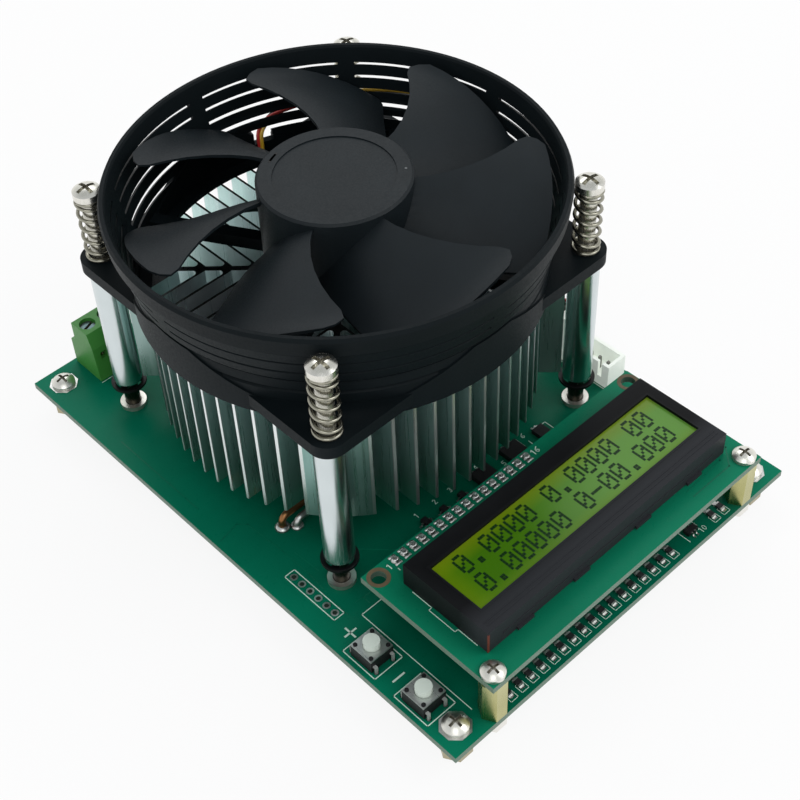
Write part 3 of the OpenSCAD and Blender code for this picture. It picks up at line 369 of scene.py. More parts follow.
def bezel_paint(name):
    """Black lacquered sheet, drawn a little greyer along the front bar as painted light."""
    s = Shader(name)
    cloud = s.noise(120, 4)
    # Painted light: the front bar greyer, as it catches more light
    front = s.span(s.axis(1), 1.0, 0.0, -0.0610, -0.0560)
    base = s.ramp(cloud, [(0.3, (0.0040, 0.0044, 0.0048)), (0.7, (0.0056, 0.0060, 0.0066))])
    base = s.mix(front, base, (0.028, 0.030, 0.034))
    worn = s.math("MULTIPLY", s.worn_edges(), 0.15)
    s.colour(s.mix(worn, base, (0.030, 0.032, 0.036)))
    fine = s.noise(2600, 2)
    s.rough(s.span(fine, 0.34, 0.46))
    s.bump(fine, 0.06, 0.0001)
    s.set(Specular_IOR_Level=0.08)
    return s.mat


def chip_resistor_mat(name):
    """Black body with bright tinned ends, by the position along Y."""
    s = Shader(name)
    y = s.math("ABSOLUTE", s.math("ADD", s.axis(1), -RESISTOR_Y * MM))
    end = s.math("GREATER_THAN", y, 0.62 * MM)
    fine = s.noise(2500, 2)
    body = s.ramp(fine, [(0.3, (0.010, 0.010, 0.011)), (0.7, (0.028, 0.028, 0.03))])
    tin = s.ramp(fine, [(0.3, (0.60, 0.60, 0.58)), (0.7, (0.80, 0.80, 0.78))])
    s.colour(s.mix(end, body, tin))
    s.link(s.math("MULTIPLY", end, 0.9), s.bsdf.inputs["Metallic"])
    s.rough(s.span(fine, 0.3, 0.5))
    s.bump(fine, 0.1, 0.00005)
    return s.mat


M = {
    "board": solder_mask("board_green", (0.001, 0.190, 0.104), (0.002, 0.235, 0.132)),
    "display_board": solder_mask("display_green", (0.004, 0.210, 0.110), (0.006, 0.250, 0.135)),
    "fan": plastic("fan_plastic", (0.0080, 0.0122, 0.0148), 0.50, 2600, 0.06, 0.10, 0.20),
    "shroud": plastic("shroud_plastic", (0.0046, 0.0074, 0.0088), 0.50, 2200, 0.06, 0.10, 0.08, 1.2),
    "chip": plastic("chip_epoxy", (0.008, 0.008, 0.009), 0.5, 3000, 0.10, 0.2, 0.3),
    "bezel": bezel_paint("bezel_paint"),
    "ivory": plastic("ivory_plastic", (0.68, 0.76, 0.68), 0.42, 1500, 0.03, 0.03),
    "white": plastic("white_plastic", (0.80, 0.84, 0.78), 0.45, 1500, 0.04, 0.03, 0.4, 1.0, 0.24),
    "terminal": plastic("terminal_plastic", (0.036, 0.175, 0.028), 0.42, 1800, 0.06, 0.08, 0.4, 1.3),
    "pad": plastic("pad_rubber", (0.35, 0.37, 0.40), 0.75, 900, 0.2, 0.06),
    "magnet": plastic("magnet_rubber", (0.03, 0.03, 0.03), 0.7, 900, 0.2, 0.1),
    "nylon": plastic("nylon", (0.7, 0.7, 0.68), 0.5, 900, 0.05, 0.05),
    "backlight": plastic("backlight", (0.65, 0.72, 0.4), 0.3, 700, 0.03, 0.03),
    "strip_rubber": plastic("strip_rubber", (0.3, 0.25, 0.25), 0.6, 900, 0.1, 0.1),
    "clip": plastic("clip_black", (0.003, 0.003, 0.0034), 0.35, 1800, 0.06, 0.2, 0.2),
    "sink": fin_metal("fin_aluminium"),
    "chrome": metal("post_chrome", (0.64, 0.70, 0.71), 0.21, (1, 1, 0.03), 1500, 0.01, 0.03),
    "nickel": metal("nickel", (0.78, 0.77, 0.70), 0.32,
                    (1, 1, 0.1), 2500, 0.01, 0.04, (0.84, 0.82, 0.77), 1.6),
    "screw": metal("cooler_screw", (0.68, 0.67, 0.60), 0.24,
                   (1, 1, 0.1), 2500, 0.01, 0.04, (0.84, 0.82, 0.77), 1.0, 0.0165),
    "washer": metal("washer_nickel", (0.46, 0.44, 0.40), 0.34,
                    (1, 1, 0.1), 2500, 0.01, 0.04, (0.70, 0.69, 0.64), 1.6),
    "foot": metal("foot_brass", (0.30, 0.265, 0.17), 0.38,
                  (1, 1, 0.1), 1500, 0.02, 0.05, (0.42, 0.38, 0.26)),
    "pin": metal("header_pin", (0.16, 0.16, 0.15), 0.4, (1, 1, 0.1), 1500, 0.02, 0.05),
    "pole": metal("terminal_steel", (0.12, 0.18, 0.19), 0.34, (1, 1, 0.1), 2500, 0.01, 0.04, None, 1.6),
    "plate": metal("switch_plate", (0.42, 0.45, 0.43), 0.30,
                   (1, 0.05, 1), 2500, 0.01, 0.03, (0.52, 0.54, 0.52)),
    "spring": metal("spring_wire", (0.34, 0.33, 0.27), 0.2, (1, 1, 1), 2500, 0.01, 0.04, None, 1.2),
    "steel": metal("steel", (0.5, 0.5, 0.5), 0.35, (1, 1, 0.1), 1500, 0.02, 0.08),
    "tin": metal("tin", (0.60, 0.61, 0.59), 0.32, (1, 1, 1), 1600, 0.03, 0.06),
    "solder": plastic("solder", (0.36, 0.38, 0.36), 0.28, 1600, 0.05, 0.12, 0.9),
    "brass": metal("brass", (0.44, 0.42, 0.18), 0.26,
                   (1, 1, 0.1), 1500, 0.02, 0.05, (0.52, 0.50, 0.25)),
    "copper": metal("copper", (0.30, 0.145, 0.06), 0.34, (1, 1, 1), 1400, 0.03, 0.12),
    "glass": display_glass_mat("display_glass"),
    "resistor": chip_resistor_mat("chip_resistor"),
    "silk": plastic("white_print", (0.64, 0.82, 0.71), 0.6, 2500, 0.15, 0.06),
    "hub_mark": plastic("hub_mark", (0.10, 0.11, 0.115), 0.5, 2500, 0.10, 0.06),
    "dots": plastic("display_dots", (0.006, 0.030, 0.005), 0.3, 2500, 0.03, 0.10, 0.15),
    "ring": plastic("bare_ring", (0.115, 0.085, 0.048), 0.5, 1800, 0.1, 0.3, 0.3),
    "seam": plastic("seam_glue", (0.16, 0.030, 0.018), 0.45, 1800, 0.2, 0.2),
    "trace": plastic("trace_green", (0.001, 0.140, 0.075), 0.3, 1800, 0.03, 0.05, 0.2),
}

PAINT = {
    "main_board": "board", "board_feet": "foot", "foot_screws": "nickel", "heat_sink": "sink",
    "thermal_pad": "pad", "power_transistor": "chip", "transistor_leads": "tin", "shunt_wire": "copper",
    "link_wire": "tin", "fan_shroud": "shroud", "fan_impeller": "fan", "rotor_yoke": "steel",
    "rotor_magnet": "magnet", "rotor_shaft": "steel", "shaft_clip": "nylon", "fan_bearing": "brass",
    "stator_core": "steel", "stator_coils": "copper", "fan_driver_board": "board", "cooler_posts": "chrome",
    "cooler_screws": "screw", "cooler_springs": "spring", "cooler_clips": "clip", "cooler_washers": "washer",
    "cooler_nuts": "nickel", "display_board": "display_board", "display_bezel": "bezel",
    "display_glass": "glass", "display_backlight": "backlight", "contact_strips": "strip_rubber",
    "header_strip": "chip", "header_pins": "tin", "display_socket": "chip", "display_standoffs": "brass",
    "display_screws": "nickel", "display_nuts": "nickel", "switch_bases": "chip", "switch_plates": "plate",
    "switch_leads": "solder", "increase_button": "ivory", "decrease_button": "ivory",
    "increase_dome": "steel", "decrease_dome": "steel", "terminal_housing": "terminal",
    "terminal_contacts": "brass",
    "terminal_screw_1": "pole", "terminal_screw_2": "pole", "wire_clamp_1": "nickel",
    "wire_clamp_2": "nickel", "aux_header": "white", "aux_header_pins": "pin", "fan_header": "white",
    "fan_header_pins": "tin", "fan_plug": "white", "chip_resistors": "resistor", "small_chips": "chip",
    "chip_leads": "tin", "controller_chip": "chip", "controller_leads": "tin",
}
for node, key in PAINT.items():
    mesh = NODES[node].data
    mesh.materials.clear()
    mesh.materials.append(M[key])


# Rounded shading over the faceted blades; a modifier, so the node's own mesh stays as it is

def smooth_by_angle(obj, degrees):
    tree = bpy.data.node_groups.new("smooth_" + obj.name, "GeometryNodeTree")
    tree.interface.new_socket("Geometry", in_out="INPUT", socket_type="NodeSocketGeometry")
    tree.interface.new_socket("Geometry", in_out="OUTPUT", socket_type="NodeSocketGeometry")
    new, link = tree.nodes.new, tree.links.new
    weld = new("GeometryNodeMergeByDistance")
    weld.inputs["Distance"].default_value = 1e-6
    bare = new("GeometryNodeRemoveAttribute")
    bare.inputs["Name"].default_value = "custom_normal"
    faces = new("GeometryNodeSetShadeSmooth")
    faces.inputs["Shade Smooth"].default_value = True
    round_edges = new("GeometryNodeSetShadeSmooth")
    round_edges.domain = "EDGE"
    round_edges.inputs["Shade Smooth"].default_value = True
    sharp_edges = new("GeometryNodeSetShadeSmooth")
    sharp_edges.domain = "EDGE"
    sharp_edges.inputs["Shade Smooth"].default_value = False
    angle = new("GeometryNodeInputMeshEdgeAngle")
    over = new("FunctionNodeCompare")
    over.data_type = "FLOAT"
    over.operation = "GREATER_THAN"
    over.inputs["B"].default_value = math.radians(degrees)
    link(angle.outputs["Unsigned Angle"], over.inputs["A"])
    link(over.outputs["Result"], sharp_edges.inputs["Selection"])
    chain = [new("NodeGroupInput"), weld, bare, faces, round_edges, sharp_edges, new("NodeGroupOutput")]
    for a, b in zip(chain, chain[1:]):
        link(a.outputs["Geometry"], b.inputs["Geometry"])
    obj.modifiers.new("smooth", "NODES").node_group = tree


smooth_by_angle(NODES["fan_impeller"], 38)


# Building helpers, in millimetres

def piece(name, bm, material, body=ROOT, smooth=False):
    """Scene object from a mesh in millimetres, riding on a body."""
    mesh = bpy.data.meshes.new(name)
    bmesh.ops.recalc_face_normals(bm, faces=bm.faces)
    bm.to_mesh(mesh)
    bm.free()
    mesh.transform(Matrix.Scale(MM, 4))
    for poly in mesh.polygons:
        poly.use_smooth = smooth
    mesh.materials.append(material)
    obj = bpy.data.objects.new(name, mesh)
    scene.collection.objects.link(obj)
    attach(obj, body)
    return obj


def add_box(bm, x0, x1, y0, y1, z0, z1):
    verts = [bm.verts.new((x, y, z)) for z in (z0, z1) for y in (y0, y1) for x in (x0, x1)]
    for face in ((0, 2, 3, 1), (4, 5, 7, 6), (0, 1, 5, 4), (2, 6, 7, 3), (0, 4, 6, 2), (1, 3, 7, 5)):
        bm.faces.new([verts[i] for i in face])


def add_turned(bm, x, y, profile, sides=24, start=0.0):
    """Solid of revolution about the vertical through (x, y); profile is a list of (radius, height)."""
    angles = [start + 2 * math.pi * k / sides for k in range(sides)]
    rings = []
    for r, z in profile:
        if r < 1e-6:
            rings.append([bm.verts.new((x, y, z))])
        else:
            rings.append([bm.verts.new((x + r * math.cos(a), y + r * math.sin(a), z)) for a in angles])
    for a, b in zip(rings, rings[1:]):
        for k in range(sides):
            m = (k + 1) % sides
            if len(a) == 1:
                bm.faces.new((a[0], b[k], b[m]))
            elif len(b) == 1:
                bm.faces.new((a[k], a[m], b[0]))
            else:
                bm.faces.new((a[k], a[m], b[m], b[k]))


def add_ring(bm, x, y, r_in, r_out, z0, z1, sides=24, start=0.0):
    add_turned(bm, x, y, [(r_in, z0), (r_out, z0), (r_out, z1), (r_in, z1), (r_in, z0)], sides, start)


def add_stroke(bm, p, q, width, z0, z1):
    """Flat line from p to q, half a width longer at each end."""
    d = Vector((q[0] - p[0], q[1] - p[1]))
    d.normalize()
    n = Vector((-d.y, d.x)) * width / 2
    e = d * width / 2
    flat = [(p[0] - e.x + n.x, p[1] - e.y + n.y), (p[0] - e.x - n.x, p[1] - e.y - n.y),
            (q[0] + e.x - n.x, q[1] + e.y - n.y), (q[0] + e.x + n.x, q[1] + e.y + n.y)]
    low = [bm.verts.new((*c, z0)) for c in flat]
    top = [bm.verts.new((*c, z1)) for c in flat]
    bm.faces.new(top)
    bm.faces.new(low[::-1])
    for k in range(4):
        m = (k + 1) % 4
        bm.faces.new((low[k], low[m], top[m], top[k]))


def add_outline(bm, x0, x1, y0, y1, width, z0, z1):
    corners = [(x0, y0), (x1, y0), (x1, y1), (x0, y1), (x0, y0)]
    for p, q in zip(corners, corners[1:]):
        add_stroke(bm, p, q, width, z0, z1)


# Floor, world and lamps

def make_stage():
    """White floor that looks the same white as the sky, and a sky that darkens towards its top."""
    bm = bmesh.new()
    half, low, top = 2500, -4, -0.02
    add_box(bm, -half, half, -half, half, low, top)
    mesh = bpy.data.meshes.new("floor")
    bm.to_mesh(mesh)
    bm.free()
    mesh.transform(Matrix.Scale(MM, 4))
    floor = bpy.data.objects.new("floor", mesh)
    scene.collection.objects.link(floor)
    s = Shader("floor_white")
    s.set(Base_Color=(0.9, 0.9, 0.9, 1), Roughness=0.9, Specular_IOR_Level=0.0)
    path = s.new("ShaderNodeLightPath")
    glow = s.new("ShaderNodeEmission")
    glow.inputs["Color"].default_value = (1, 1, 1, 1)
    glow.inputs["Strength"].default_value = 1.0
    blend = s.new("ShaderNodeMixShader")
    out = s.tree.nodes["Material Output"]
    seen = s.math("MAXIMUM", path.outputs["Is Camera Ray"], path.outputs["Is Glossy Ray"])
    seen = s.math("MAXIMUM", seen, path.outputs["Is Transmission Ray"])
    s.link(s.math("MULTIPLY", seen, 0.88), blend.inputs["Fac"])
    s.link(s.bsdf.outputs["BSDF"], blend.inputs[1])
    s.link(glow.outputs["Emission"], blend.inputs[2])
    s.link(blend.outputs["Shader"], out.inputs["Surface"])
    mesh.materials.append(s.mat)

    world = bpy.data.worlds.new("studio")
    scene.world = world
    world.use_nodes = True
    tree = world.node_tree
    back = tree.nodes["Background"]
    coord = tree.nodes.new("ShaderNodeTexCoord")
    sep = tree.nodes.new("ShaderNodeSeparateXYZ")
    ramp = tree.nodes.new("ShaderNodeValToRGB")
    ramp.color_ramp.elements[0].position = 0.0
    ramp.color_ramp.elements[0].color = (1.0, 1.0, 1.0, 1)
    ramp.color_ramp.elements[1].position = 0.9
    ramp.color_ramp.elements[1].color = (0.54, 0.56, 0.58, 1)
    tree.links.new(coord.outputs["Generated"], sep.inputs["Vector"])
    tree.links.new(sep.outputs[2], ramp.inputs["Fac"])
    tree.links.new(ramp.outputs["Color"], back.inputs["Color"])
    back.inputs["Strength"].default_value = 1.0


def make_lamp(name, place, target, size, power):
    data = bpy.data.lights.new(name, "AREA")
    data.shape = "RECTANGLE"
    data.size, data.size_y = size
    data.energy = power
    obj = bpy.data.objects.new(name, data)
    obj.location = place
    obj.rotation_euler = (Vector(target) - Vector(place)).to_track_quat("-Z", "Y").to_euler()
    scene.collection.objects.link(obj)


make_stage()
make_lamp("key", (-0.40, -0.42, 0.80), (0, 0, 0.03), (0.5, 0.5), 1.2)
make_lamp("back", (0.40, 0.55, 0.75), (0, 0, 0.05), (0.7, 0.4), 1.5)
make_lamp("right", (0.45, -0.55, 0.70), (0, 0, 0.03), (0.5, 0.5), 2.0)
scene.view_settings.view_transform = "Standard"


# Printed marks and pads on the boards

FONT = {
    "0": "01110 10001 10011 10101 11001 10001 01110",
    ".": "00000 00000 00000 00000 00000 01100 01100",
    "-": "00000 00000 00000 11111 00000 00000 00000",
    " ": "00000 00000 00000 00000 00000 00000 00000",
}
LCD_LINES = ("0.0000 0.0000 00", "0.00000 0-00.000")


def display_dots():
    """The display's lit text, two rows of letters of five by seven dots."""
    bm = bmesh.new()
    z0 = GLASS_TOP + 0.005
    for row, text in enumerate(LCD_LINES):
        for col, letter in enumerate(text):
            x0 = WINDOW_X - 28.1 + col * LETTER_PITCH
            y0 = WINDOW_Y + (5.75 if row == 0 else -0.19)
            for j, line in enumerate(FONT[letter].split()):
                for i, dot in enumerate(line):
                    if dot == "1":
                        x = x0 + i * DOT_PITCH_X
                        y = y0 - j * DOT_PITCH_Y
                        add_box(bm, x, x + DOT_X, y - DOT_Y, y, z0, z0 + PRINT_H)
    piece("display_dots", bm, M["dots"])


def strokes(bm, lines, width, z0):
    """Printed lines, each through its own list of points."""
    for line in lines:
        for p, q in zip(line, line[1:]):
            add_stroke(bm, p, q, width, z0, z0 + PRINT_H)


DIGIT = {
    "0": [(0.3, 1.0), (0.05, 0.75), (0.05, 0.25), (0.3, 0.0), (0.55, 0.25), (0.55, 0.75), (0.3, 1.0)],
    "1": [(0.1, 0.8), (0.35, 1.0), (0.35, 0.0)],
    "2": [(0.05, 0.8), (0.3, 1.0), (0.55, 0.75), (0.05, 0.0), (0.6, 0.0)],
    "3": [(0.05, 0.9), (0.35, 1.0), (0.55, 0.75), (0.25, 0.52), (0.55, 0.28), (0.35, 0.0), (0.05, 0.1)],
    "4": [(0.45, 0.0), (0.45, 1.0), (0.05, 0.3), (0.6, 0.3)],
    "5": [(0.55, 1.0), (0.1, 1.0), (0.05, 0.55), (0.4, 0.6), (0.55, 0.3), (0.35, 0.0), (0.05, 0.1)],
    "6": [(0.6, 1.0), (0.15, 0.7), (0.0, 0.3), (0.3, 0.0), (0.6, 0.25), (0.3, 0.55), (0.05, 0.4)],
}


def number(bm, text, x, y, size, z0, width):
    """Printed digits, size millimetres high, from (x, y) to the right."""
    for k, letter in enumerate(text):
        line = [(x + (k * 0.8 + a) * size, y + b * size) for a, b in DIGIT[letter]]
        strokes(bm, [line], width, z0)


NUMBERS = (("1", -14.8, -23.6), ("2", -9.3, -23.6), ("3", -4.6, -23.6), ("4", 3.9, -23.0),
           ("5", 9.2, -26.6), ("6", 17.9, -24.0), ("10", 24.6, -68.6))
PLUS_AND_MINUS = [[(-46.2, -35.2), (-43.4, -35.2)], [(-44.8, -36.6), (-44.8, -33.8)],
                  [(-46.6, -49.6), (-43.8, -49.6)]]
CHIP_MARKS = [[(24.2, -24.0), (25.0, -24.0), (25.0, -26.8)], [(18.2, -25.4), (18.2, -27.6), (19.2, -27.6)],
              [(16.5, -23.0), (16.5, -25.9)], [(20.9, -68.4), (20.9, -65.0)], [(25.3, -65.3), (25.3, -66.6)]]
LCD_MARKS = [[(-33.2, -37.6), (-33.2, -38.1)],
             [(-35.2, -43.8), (-35.2, -49.0), (-36.0, -49.0), (-36.0, -56.1), (-35.2, -56.1), (-35.2, -61.2)]]
LCD_TRACKS = [[(36.6, -60.5), (36.2, -62.6), (33.3, -64.6), (21.8, -65.2)],
              [(37.4, -60.5), (37.0, -63.2), (33.4, -66.9), (21.9, -66.9)]]
BOARD_TRACKS = [[(-48.6, 1.6), (-43.3, 2.7), (-41.6, 1.0), (-41.0, -10.0), (-41.0, -18.5), (-42.2, -31.6)],
                [(-39.4, -12.0), (-39.0, -19.0)], [(-37.0, -30.5), (-37.0, -32.6)],
                [(-39.0, -30.4), (-34.0, -30.8)], [(-30.0, -20.0), (-20.0, -30.5)],
                [(40.2, 20.0), (40.2, -4.0)], [(-46.5, 40.0), (-46.5, 12.0)]]


def board_print():
    """White print on both boards, and the tracks that show through the green lacquer."""
    bm = bmesh.new()
    z = BOARD_TOP + 0.004
    for y0, y1 in ((-46.7, -37.35), (-61.4, -52.0)):
        add_outline(bm, -48.85, -41.35, y0, y1, 0.22, z, z + PRINT_H)
    add_outline(bm, -45.1, -42.42, -30.7, -15.3, 0.22, z, z + PRINT_H)
    strokes(bm, [[(-20, -33.6), (-40.2, -33.6), (-40.2, -64.6)]], 0.2, z)
    strokes(bm, PLUS_AND_MINUS, 0.42, z)
    for x in RESISTOR_X:
        add_outline(bm, x - 0.95, x + 0.95, -68.9, -66.9, 0.13, z, z + PRINT_H)
    for text, x, y in NUMBERS:
        number(bm, text, x, y, 1.25, z, 0.16)
    strokes(bm, CHIP_MARKS, 0.16, z)
    strokes(bm, [[(-38.4, 58.55), (-28.2, 58.55)]], 0.14, z)
    for y0, y1 in ((-27.6, -17.0), (-15.4, -7.0)):
        add_outline(bm, 42.0, 48.6, y0, y1, 0.2, z, z + PRINT_H)
    piece("board_print", bm, M["silk"])

    bm = bmesh.new()
    z = LCD_TOP + 0.004
    number(bm, "1", -34.6, -36.7, 1.3, z, 0.2)
    number(bm, "16", 7.5, -36.4, 1.4, z, 0.2)
    strokes(bm, LCD_MARKS, 0.17, z)
    piece("display_print", bm, M["silk"])

    bm = bmesh.new()
    strokes(bm, LCD_TRACKS, 0.3, z)
    strokes(bm, BOARD_TRACKS, 0.25, BOARD_TOP + 0.002)
    piece("board_tracks", bm, M["trace"])


def tinned_pads():
    """Tinned rings and pads on the main board."""
    bm = bmesh.new()
    z = BOARD_TOP
    for sx in SIDES:
        for sy in SIDES:
            add_ring(bm, sx * FOOT_X, sy * FOOT_Y, 1.65, 3.45, z, z + 0.06, 8, math.pi / 8)
    for k in range(6):
        add_ring(bm, -43.76, -29.4 + PIN_PITCH * k, 0.52, 0.88, z, z + PAD_H, 20)
    for x in RESISTOR_X:
        add_box(bm, x - 0.55, x + 0.55, -68.4, -67.75, z, z + PAD_H)
        add_box(bm, x - 0.55, x + 0.55, -65.85, -65.2, z, z + PAD_H)
    for x in (-LCD_HOLE_X, LCD_HOLE_X):
        add_ring(bm, x, LCD_HOLE_FRONT, 1.4, 2.4, z, z + PAD_H, 28)
    piece("tinned_pads", bm, M["tin"])


def solder_joints():
    """Solder on the display's pin row, round the two wires' ends, and on the leads under the board."""
    bm = bmesh.new()
    z = LCD_TOP
    blob = [(0.56, z + 0.02), (0.98, z + 0.02), (0.95, z + 0.10), (0.70, z + 0.42), (0.47, z + 0.85),
            (0.47, z + 0.05)]
    for x in PIN_X:
        add_turned(bm, x, PIN_Y, blob, 14, RNG.random())
        add_box(bm, x - 0.85, x + 0.85, PIN_Y - 1.35, PIN_Y - 0.75, z, z + PAD_H)
        add_box(bm, x - 0.85, x + 0.85, PIN_Y + 0.75, PIN_Y + 1.35, z, z + PAD_H)
    z = BOARD_TOP
    for x, y, r_in, r_out, h in ((-36.7, -4.9, 0.82, 1.75, 0.7), (-34.2, -6.8, 0.83, 1.5, 0.5)):
        cone = [(r_in, z + 0.01), (r_out, z + 0.01), (r_out * 0.8, z + h * 0.5), (r_in + 0.1, z + h),
                (r_in, z + h), (r_in, z + 0.01)]
        add_turned(bm, x, y, cone, 20)
    z = BOARD_LOW
    under = [(x, PIN_Y, 0.47) for x in PIN_X]
    under += [(SWITCH_X + sx * 2.25, y + sy * 3.6, 0.45) for y in SWITCH_Y for sx in SIDES for sy in SIDES]
    under += [(SOCKET_X, y + k * 2.5, 0.47) for y in SOCKET_Y for k in (-1, 0, 1)]
    under += [(x, 61.3, 0.55) for x in (-35.8, -30.72)]
    under += [(FAN_X + k * 5.44, -2.2, 0.75) for k in (-1, 0, 1)]
    for x, y, r in under:
        cone = [(r, z - 0.01), (r + 0.65, z - 0.01), (r + 0.5, z - 0.3), (r + 0.05, z - 0.95), (r, z - 0.95),
                (r, z - 0.01)]
        add_turned(bm, x, y, cone, 14, RNG.random())
    piece("solder_joints", bm, M["tin"], smooth=True)


def bare_rings():
    """Bare copper round the display module's four corner holes."""
    bm = bmesh.new()
    for x in (-LCD_HOLE_X, LCD_HOLE_X):
        for y in (LCD_HOLE_FRONT, LCD_HOLE_REAR):
            add_ring(bm, x, y, 1.6, 2.45, LCD_TOP, LCD_TOP + 0.03, 28)
    piece("display_hole_rings", bm, M["ring"])


def bezel_trim():
    """Beads, tabs and the window's lip on the display's frame, and glue at its near corner."""
    bm = bmesh.new()
    (x0, x1), (y0, y1) = BEZEL_X, BEZEL_Y
    top = BEZEL_TOP
    for y, w in ((y0 + 1.5, 0.35), (y0 + 2.3, 0.22)):
        add_box(bm, x0 + 1.2, x1 - 1.2, y - w / 2, y + w / 2, top - 0.02, top + 0.09)
    for x in (x0 + 10, x0 + 26, x1 - 26, x1 - 10):
        add_box(bm, x - 2.2, x + 2.2, y0 - 0.55, y0 + 0.01, LCD_TOP, LCD_TOP + 0.75)
        add_box(bm, x - 2.2, x + 2.2, y1 - 0.01, y1 + 0.55, LCD_TOP, LCD_TOP + 0.75)
    add_box(bm, x0 + 4, x1 - 4, y0 - 0.12, y0 + 0.01, LCD_TOP + 2.3, LCD_TOP + 2.75)
    wx0, wx1, wy0, wy1 = WINDOW_X - 32.2, WINDOW_X + 32.2, WINDOW_Y - 6.8, WINDOW_Y + 6.8
    for a, b, c, d in ((wx0 - 0.5, wx1 + 0.5, wy0 - 0.5, wy0), (wx0 - 0.5, wx1 + 0.5, wy1, wy1 + 0.5),
                       (wx0 - 0.5, wx0, wy0, wy1), (wx1, wx1 + 0.5, wy0, wy1)):
        add_box(bm, a, b, c, d, top - 0.02, top + 0.06)
    piece("bezel_trim", bm, M["bezel"])
    bm = bmesh.new()
    add_box(bm, x0 - 0.06, x0 + 0.35, y0 - 0.06, y0 + 0.2, LCD_TOP + 0.1, top - 0.5)
    piece("bezel_seam", bm, M["seam"])


def spring_coils():
    """The four springs again as round wire with many more steps, on the line of the faceted ones."""
    bm = bmesh.new()
    turns, steps, sides, wire, height, mean = 6.5, 32, 10, 0.8, 16.0, 2.7
    closed_turns = 0.8  # at each end
    count = round(turns * steps)
    flat = closed_turns / turns
    for x, y in POSTS:
        rings = []
        for i in range(count + 1):
            u = i / count
            v = min(max((u - flat) / (1 - 2 * flat), 0), 1)
            end = (min(u, flat) + max(u - 1 + flat, 0)) / flat
            z = PLATE_TOP + wire / 2 + 0.55 * wire * end + (height - 2.1 * wire) * v
            a = -2 * math.pi * i / steps
            ring = []
            for j in range(sides):
                b = 2 * math.pi * j / sides
                r = mean + wire / 2 * math.cos(b)
                rise = wire / 2 * math.sin(b)
                ring.append(bm.verts.new((x + r * math.cos(a), y + r * math.sin(a), z + rise)))
            rings.append(ring)
        for p, q in zip(rings, rings[1:]):
            for j in range(sides):
                m = (j + 1) % sides
                bm.faces.new((p[j], p[m], q[m], q[j]))
        bm.faces.new(rings[0][::-1])
        bm.faces.new(rings[-1])
    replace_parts(piece("spring_coils", bm, M["spring"], smooth=True), "cooler_springs")


def on_hub(radius, degrees):
    a = math.radians(degrees)
    return FAN_X + radius * math.cos(a), FAN_Y + radius * math.sin(a)


def hub_marks():
    """Moulding marks on the fan's hub: a small dark crescent near its edge and a pale dot."""
    bm = bmesh.new()
    z = HUB_TOP + 0.004
    strokes(bm, [[on_hub(14.1, a) for a in range(105, 118, 2)]], 0.5, z)
    piece("hub_crescent", bm, M["clip"], body="rotor")
    bm = bmesh.new()
    x, y = on_hub(14.4, -39)
    add_turned(bm, x, y, [(0, z), (0.28, z), (0.22, z + 0.05), (0, z + 0.06)], 12)
    piece("hub_dot", bm, M["hub_mark"], body="rotor")


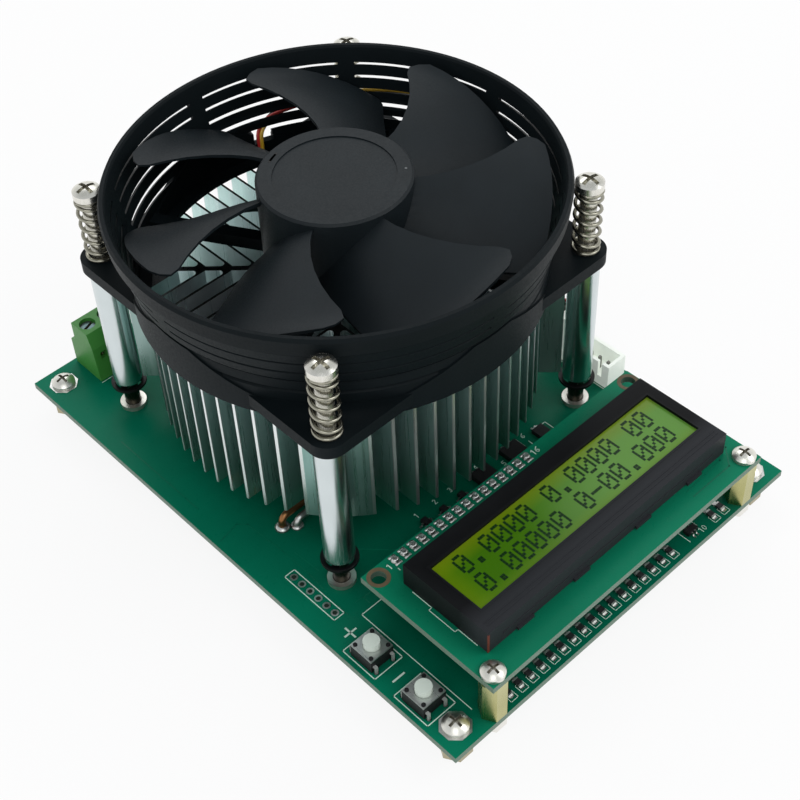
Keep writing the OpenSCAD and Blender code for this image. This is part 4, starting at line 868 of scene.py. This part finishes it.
LEAD_ROUTE = [(1.2, 24.3, 54.1), (2.2, 29.7, 54.1), (4.1, 37.5, 53.4), (6.8, 45.1, 53.2), (10.1, 50.4, 54.1),
              (12.7, 53.9, 55.0), (16.6, 55.3, 56.2), (21.2, 53.6, 57.8), (28.0, 48.8, 59.6),
              (33.1, 43.5, 60.4), (39.9, 35.6, 60.4), (44.7, 24.2, 59.6), (46.3, 13.6, 57.6),
              (45.9, 3.8, 54.1), (44.5, -2.6, 49.0), (44.2, -8.5, 41.5), (45.2, -14.4, 34.0),
              (45.9, -16.6, 29.0), (45.8, -14.8, 24.6), (45.3, -11.2, 22.6), (45.3, -11.2, 20.6)]
WIRE_R = 0.45
LAY_R = 0.46   # from the lead's middle line to each wire's
TWIST = 0.16   # radians for each millimetre
WIRE_TINTS = {"red": (0.42, 0.012, 0.008), "yellow": (0.55, 0.33, 0.012), "black": (0.012, 0.012, 0.013)}


def smooth_line(route, steps):
    """Points along a curve through every point of the route, with so many steps between two of them."""
    pts = [Vector(p) for p in route]
    line = []
    for i in range(len(pts) - 1):
        a, b, c, d = pts[max(i - 1, 0)], pts[i], pts[i + 1], pts[min(i + 2, len(pts) - 1)]
        for k in range(steps):
            u = k / steps
            line.append(0.5 * (2 * b + (c - a) * u + (2 * a - 5 * b + 4 * c - d) * u ** 2
                               + (3 * b - a - 3 * c + d) * u ** 3))
    line.append(pts[-1])
    return line


def fan_lead():
    """Three twisted wires from the motor over the frame's wall to the plug."""
    line = smooth_line(LEAD_ROUTE, 4)
    wires = []
    for n, (name, tint) in enumerate(WIRE_TINTS.items()):
        data = bpy.data.curves.new("fan_wire_" + name, "CURVE")
        data.dimensions = "3D"
        data.bevel_depth = WIRE_R * MM
        data.bevel_resolution = 3
        data.use_fill_caps = True
        spline = data.splines.new("POLY")
        spline.points.add(len(line) - 1)
        run = 0.0
        for i, p in enumerate(line):
            ahead = (line[min(i + 1, len(line) - 1)] - line[max(i - 1, 0)]).normalized()
            round_fan = Vector((FAN_Y - p.y, p.x - FAN_X, 0.0)) + Vector((0.0035, 0.009, 0.0025))
            side = ahead.cross(round_fan).normalized()
            other = ahead.cross(side)
            if i:
                run += (p - line[i - 1]).length
            turn = n * 2 * math.pi / 3 + run * TWIST
            q = p + LAY_R * (side * math.cos(turn) + other * math.sin(turn))
            spline.points[i].co = (*(q * MM), 1.0)
        data.materials.append(plastic("wire_" + name, tint, 0.4, 1200, 0.06, 0.08))
        obj = bpy.data.objects.new("fan_wire_" + name, data)
        scene.collection.objects.link(obj)
        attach(obj, ROOT)
        path = [Vector(point.co[:3]) for point in spline.points]
        wires.append((obj, path[0], sum((b - a).length for a, b in zip(path, path[1:]))))
    for obj, start, length in wires:
        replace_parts(obj, "fan_lead")
        tuple(start)


display_dots()
board_print()
tinned_pads()
solder_joints()
bare_rings()
bezel_trim()
spring_coils()
hub_marks()
fan_lead()
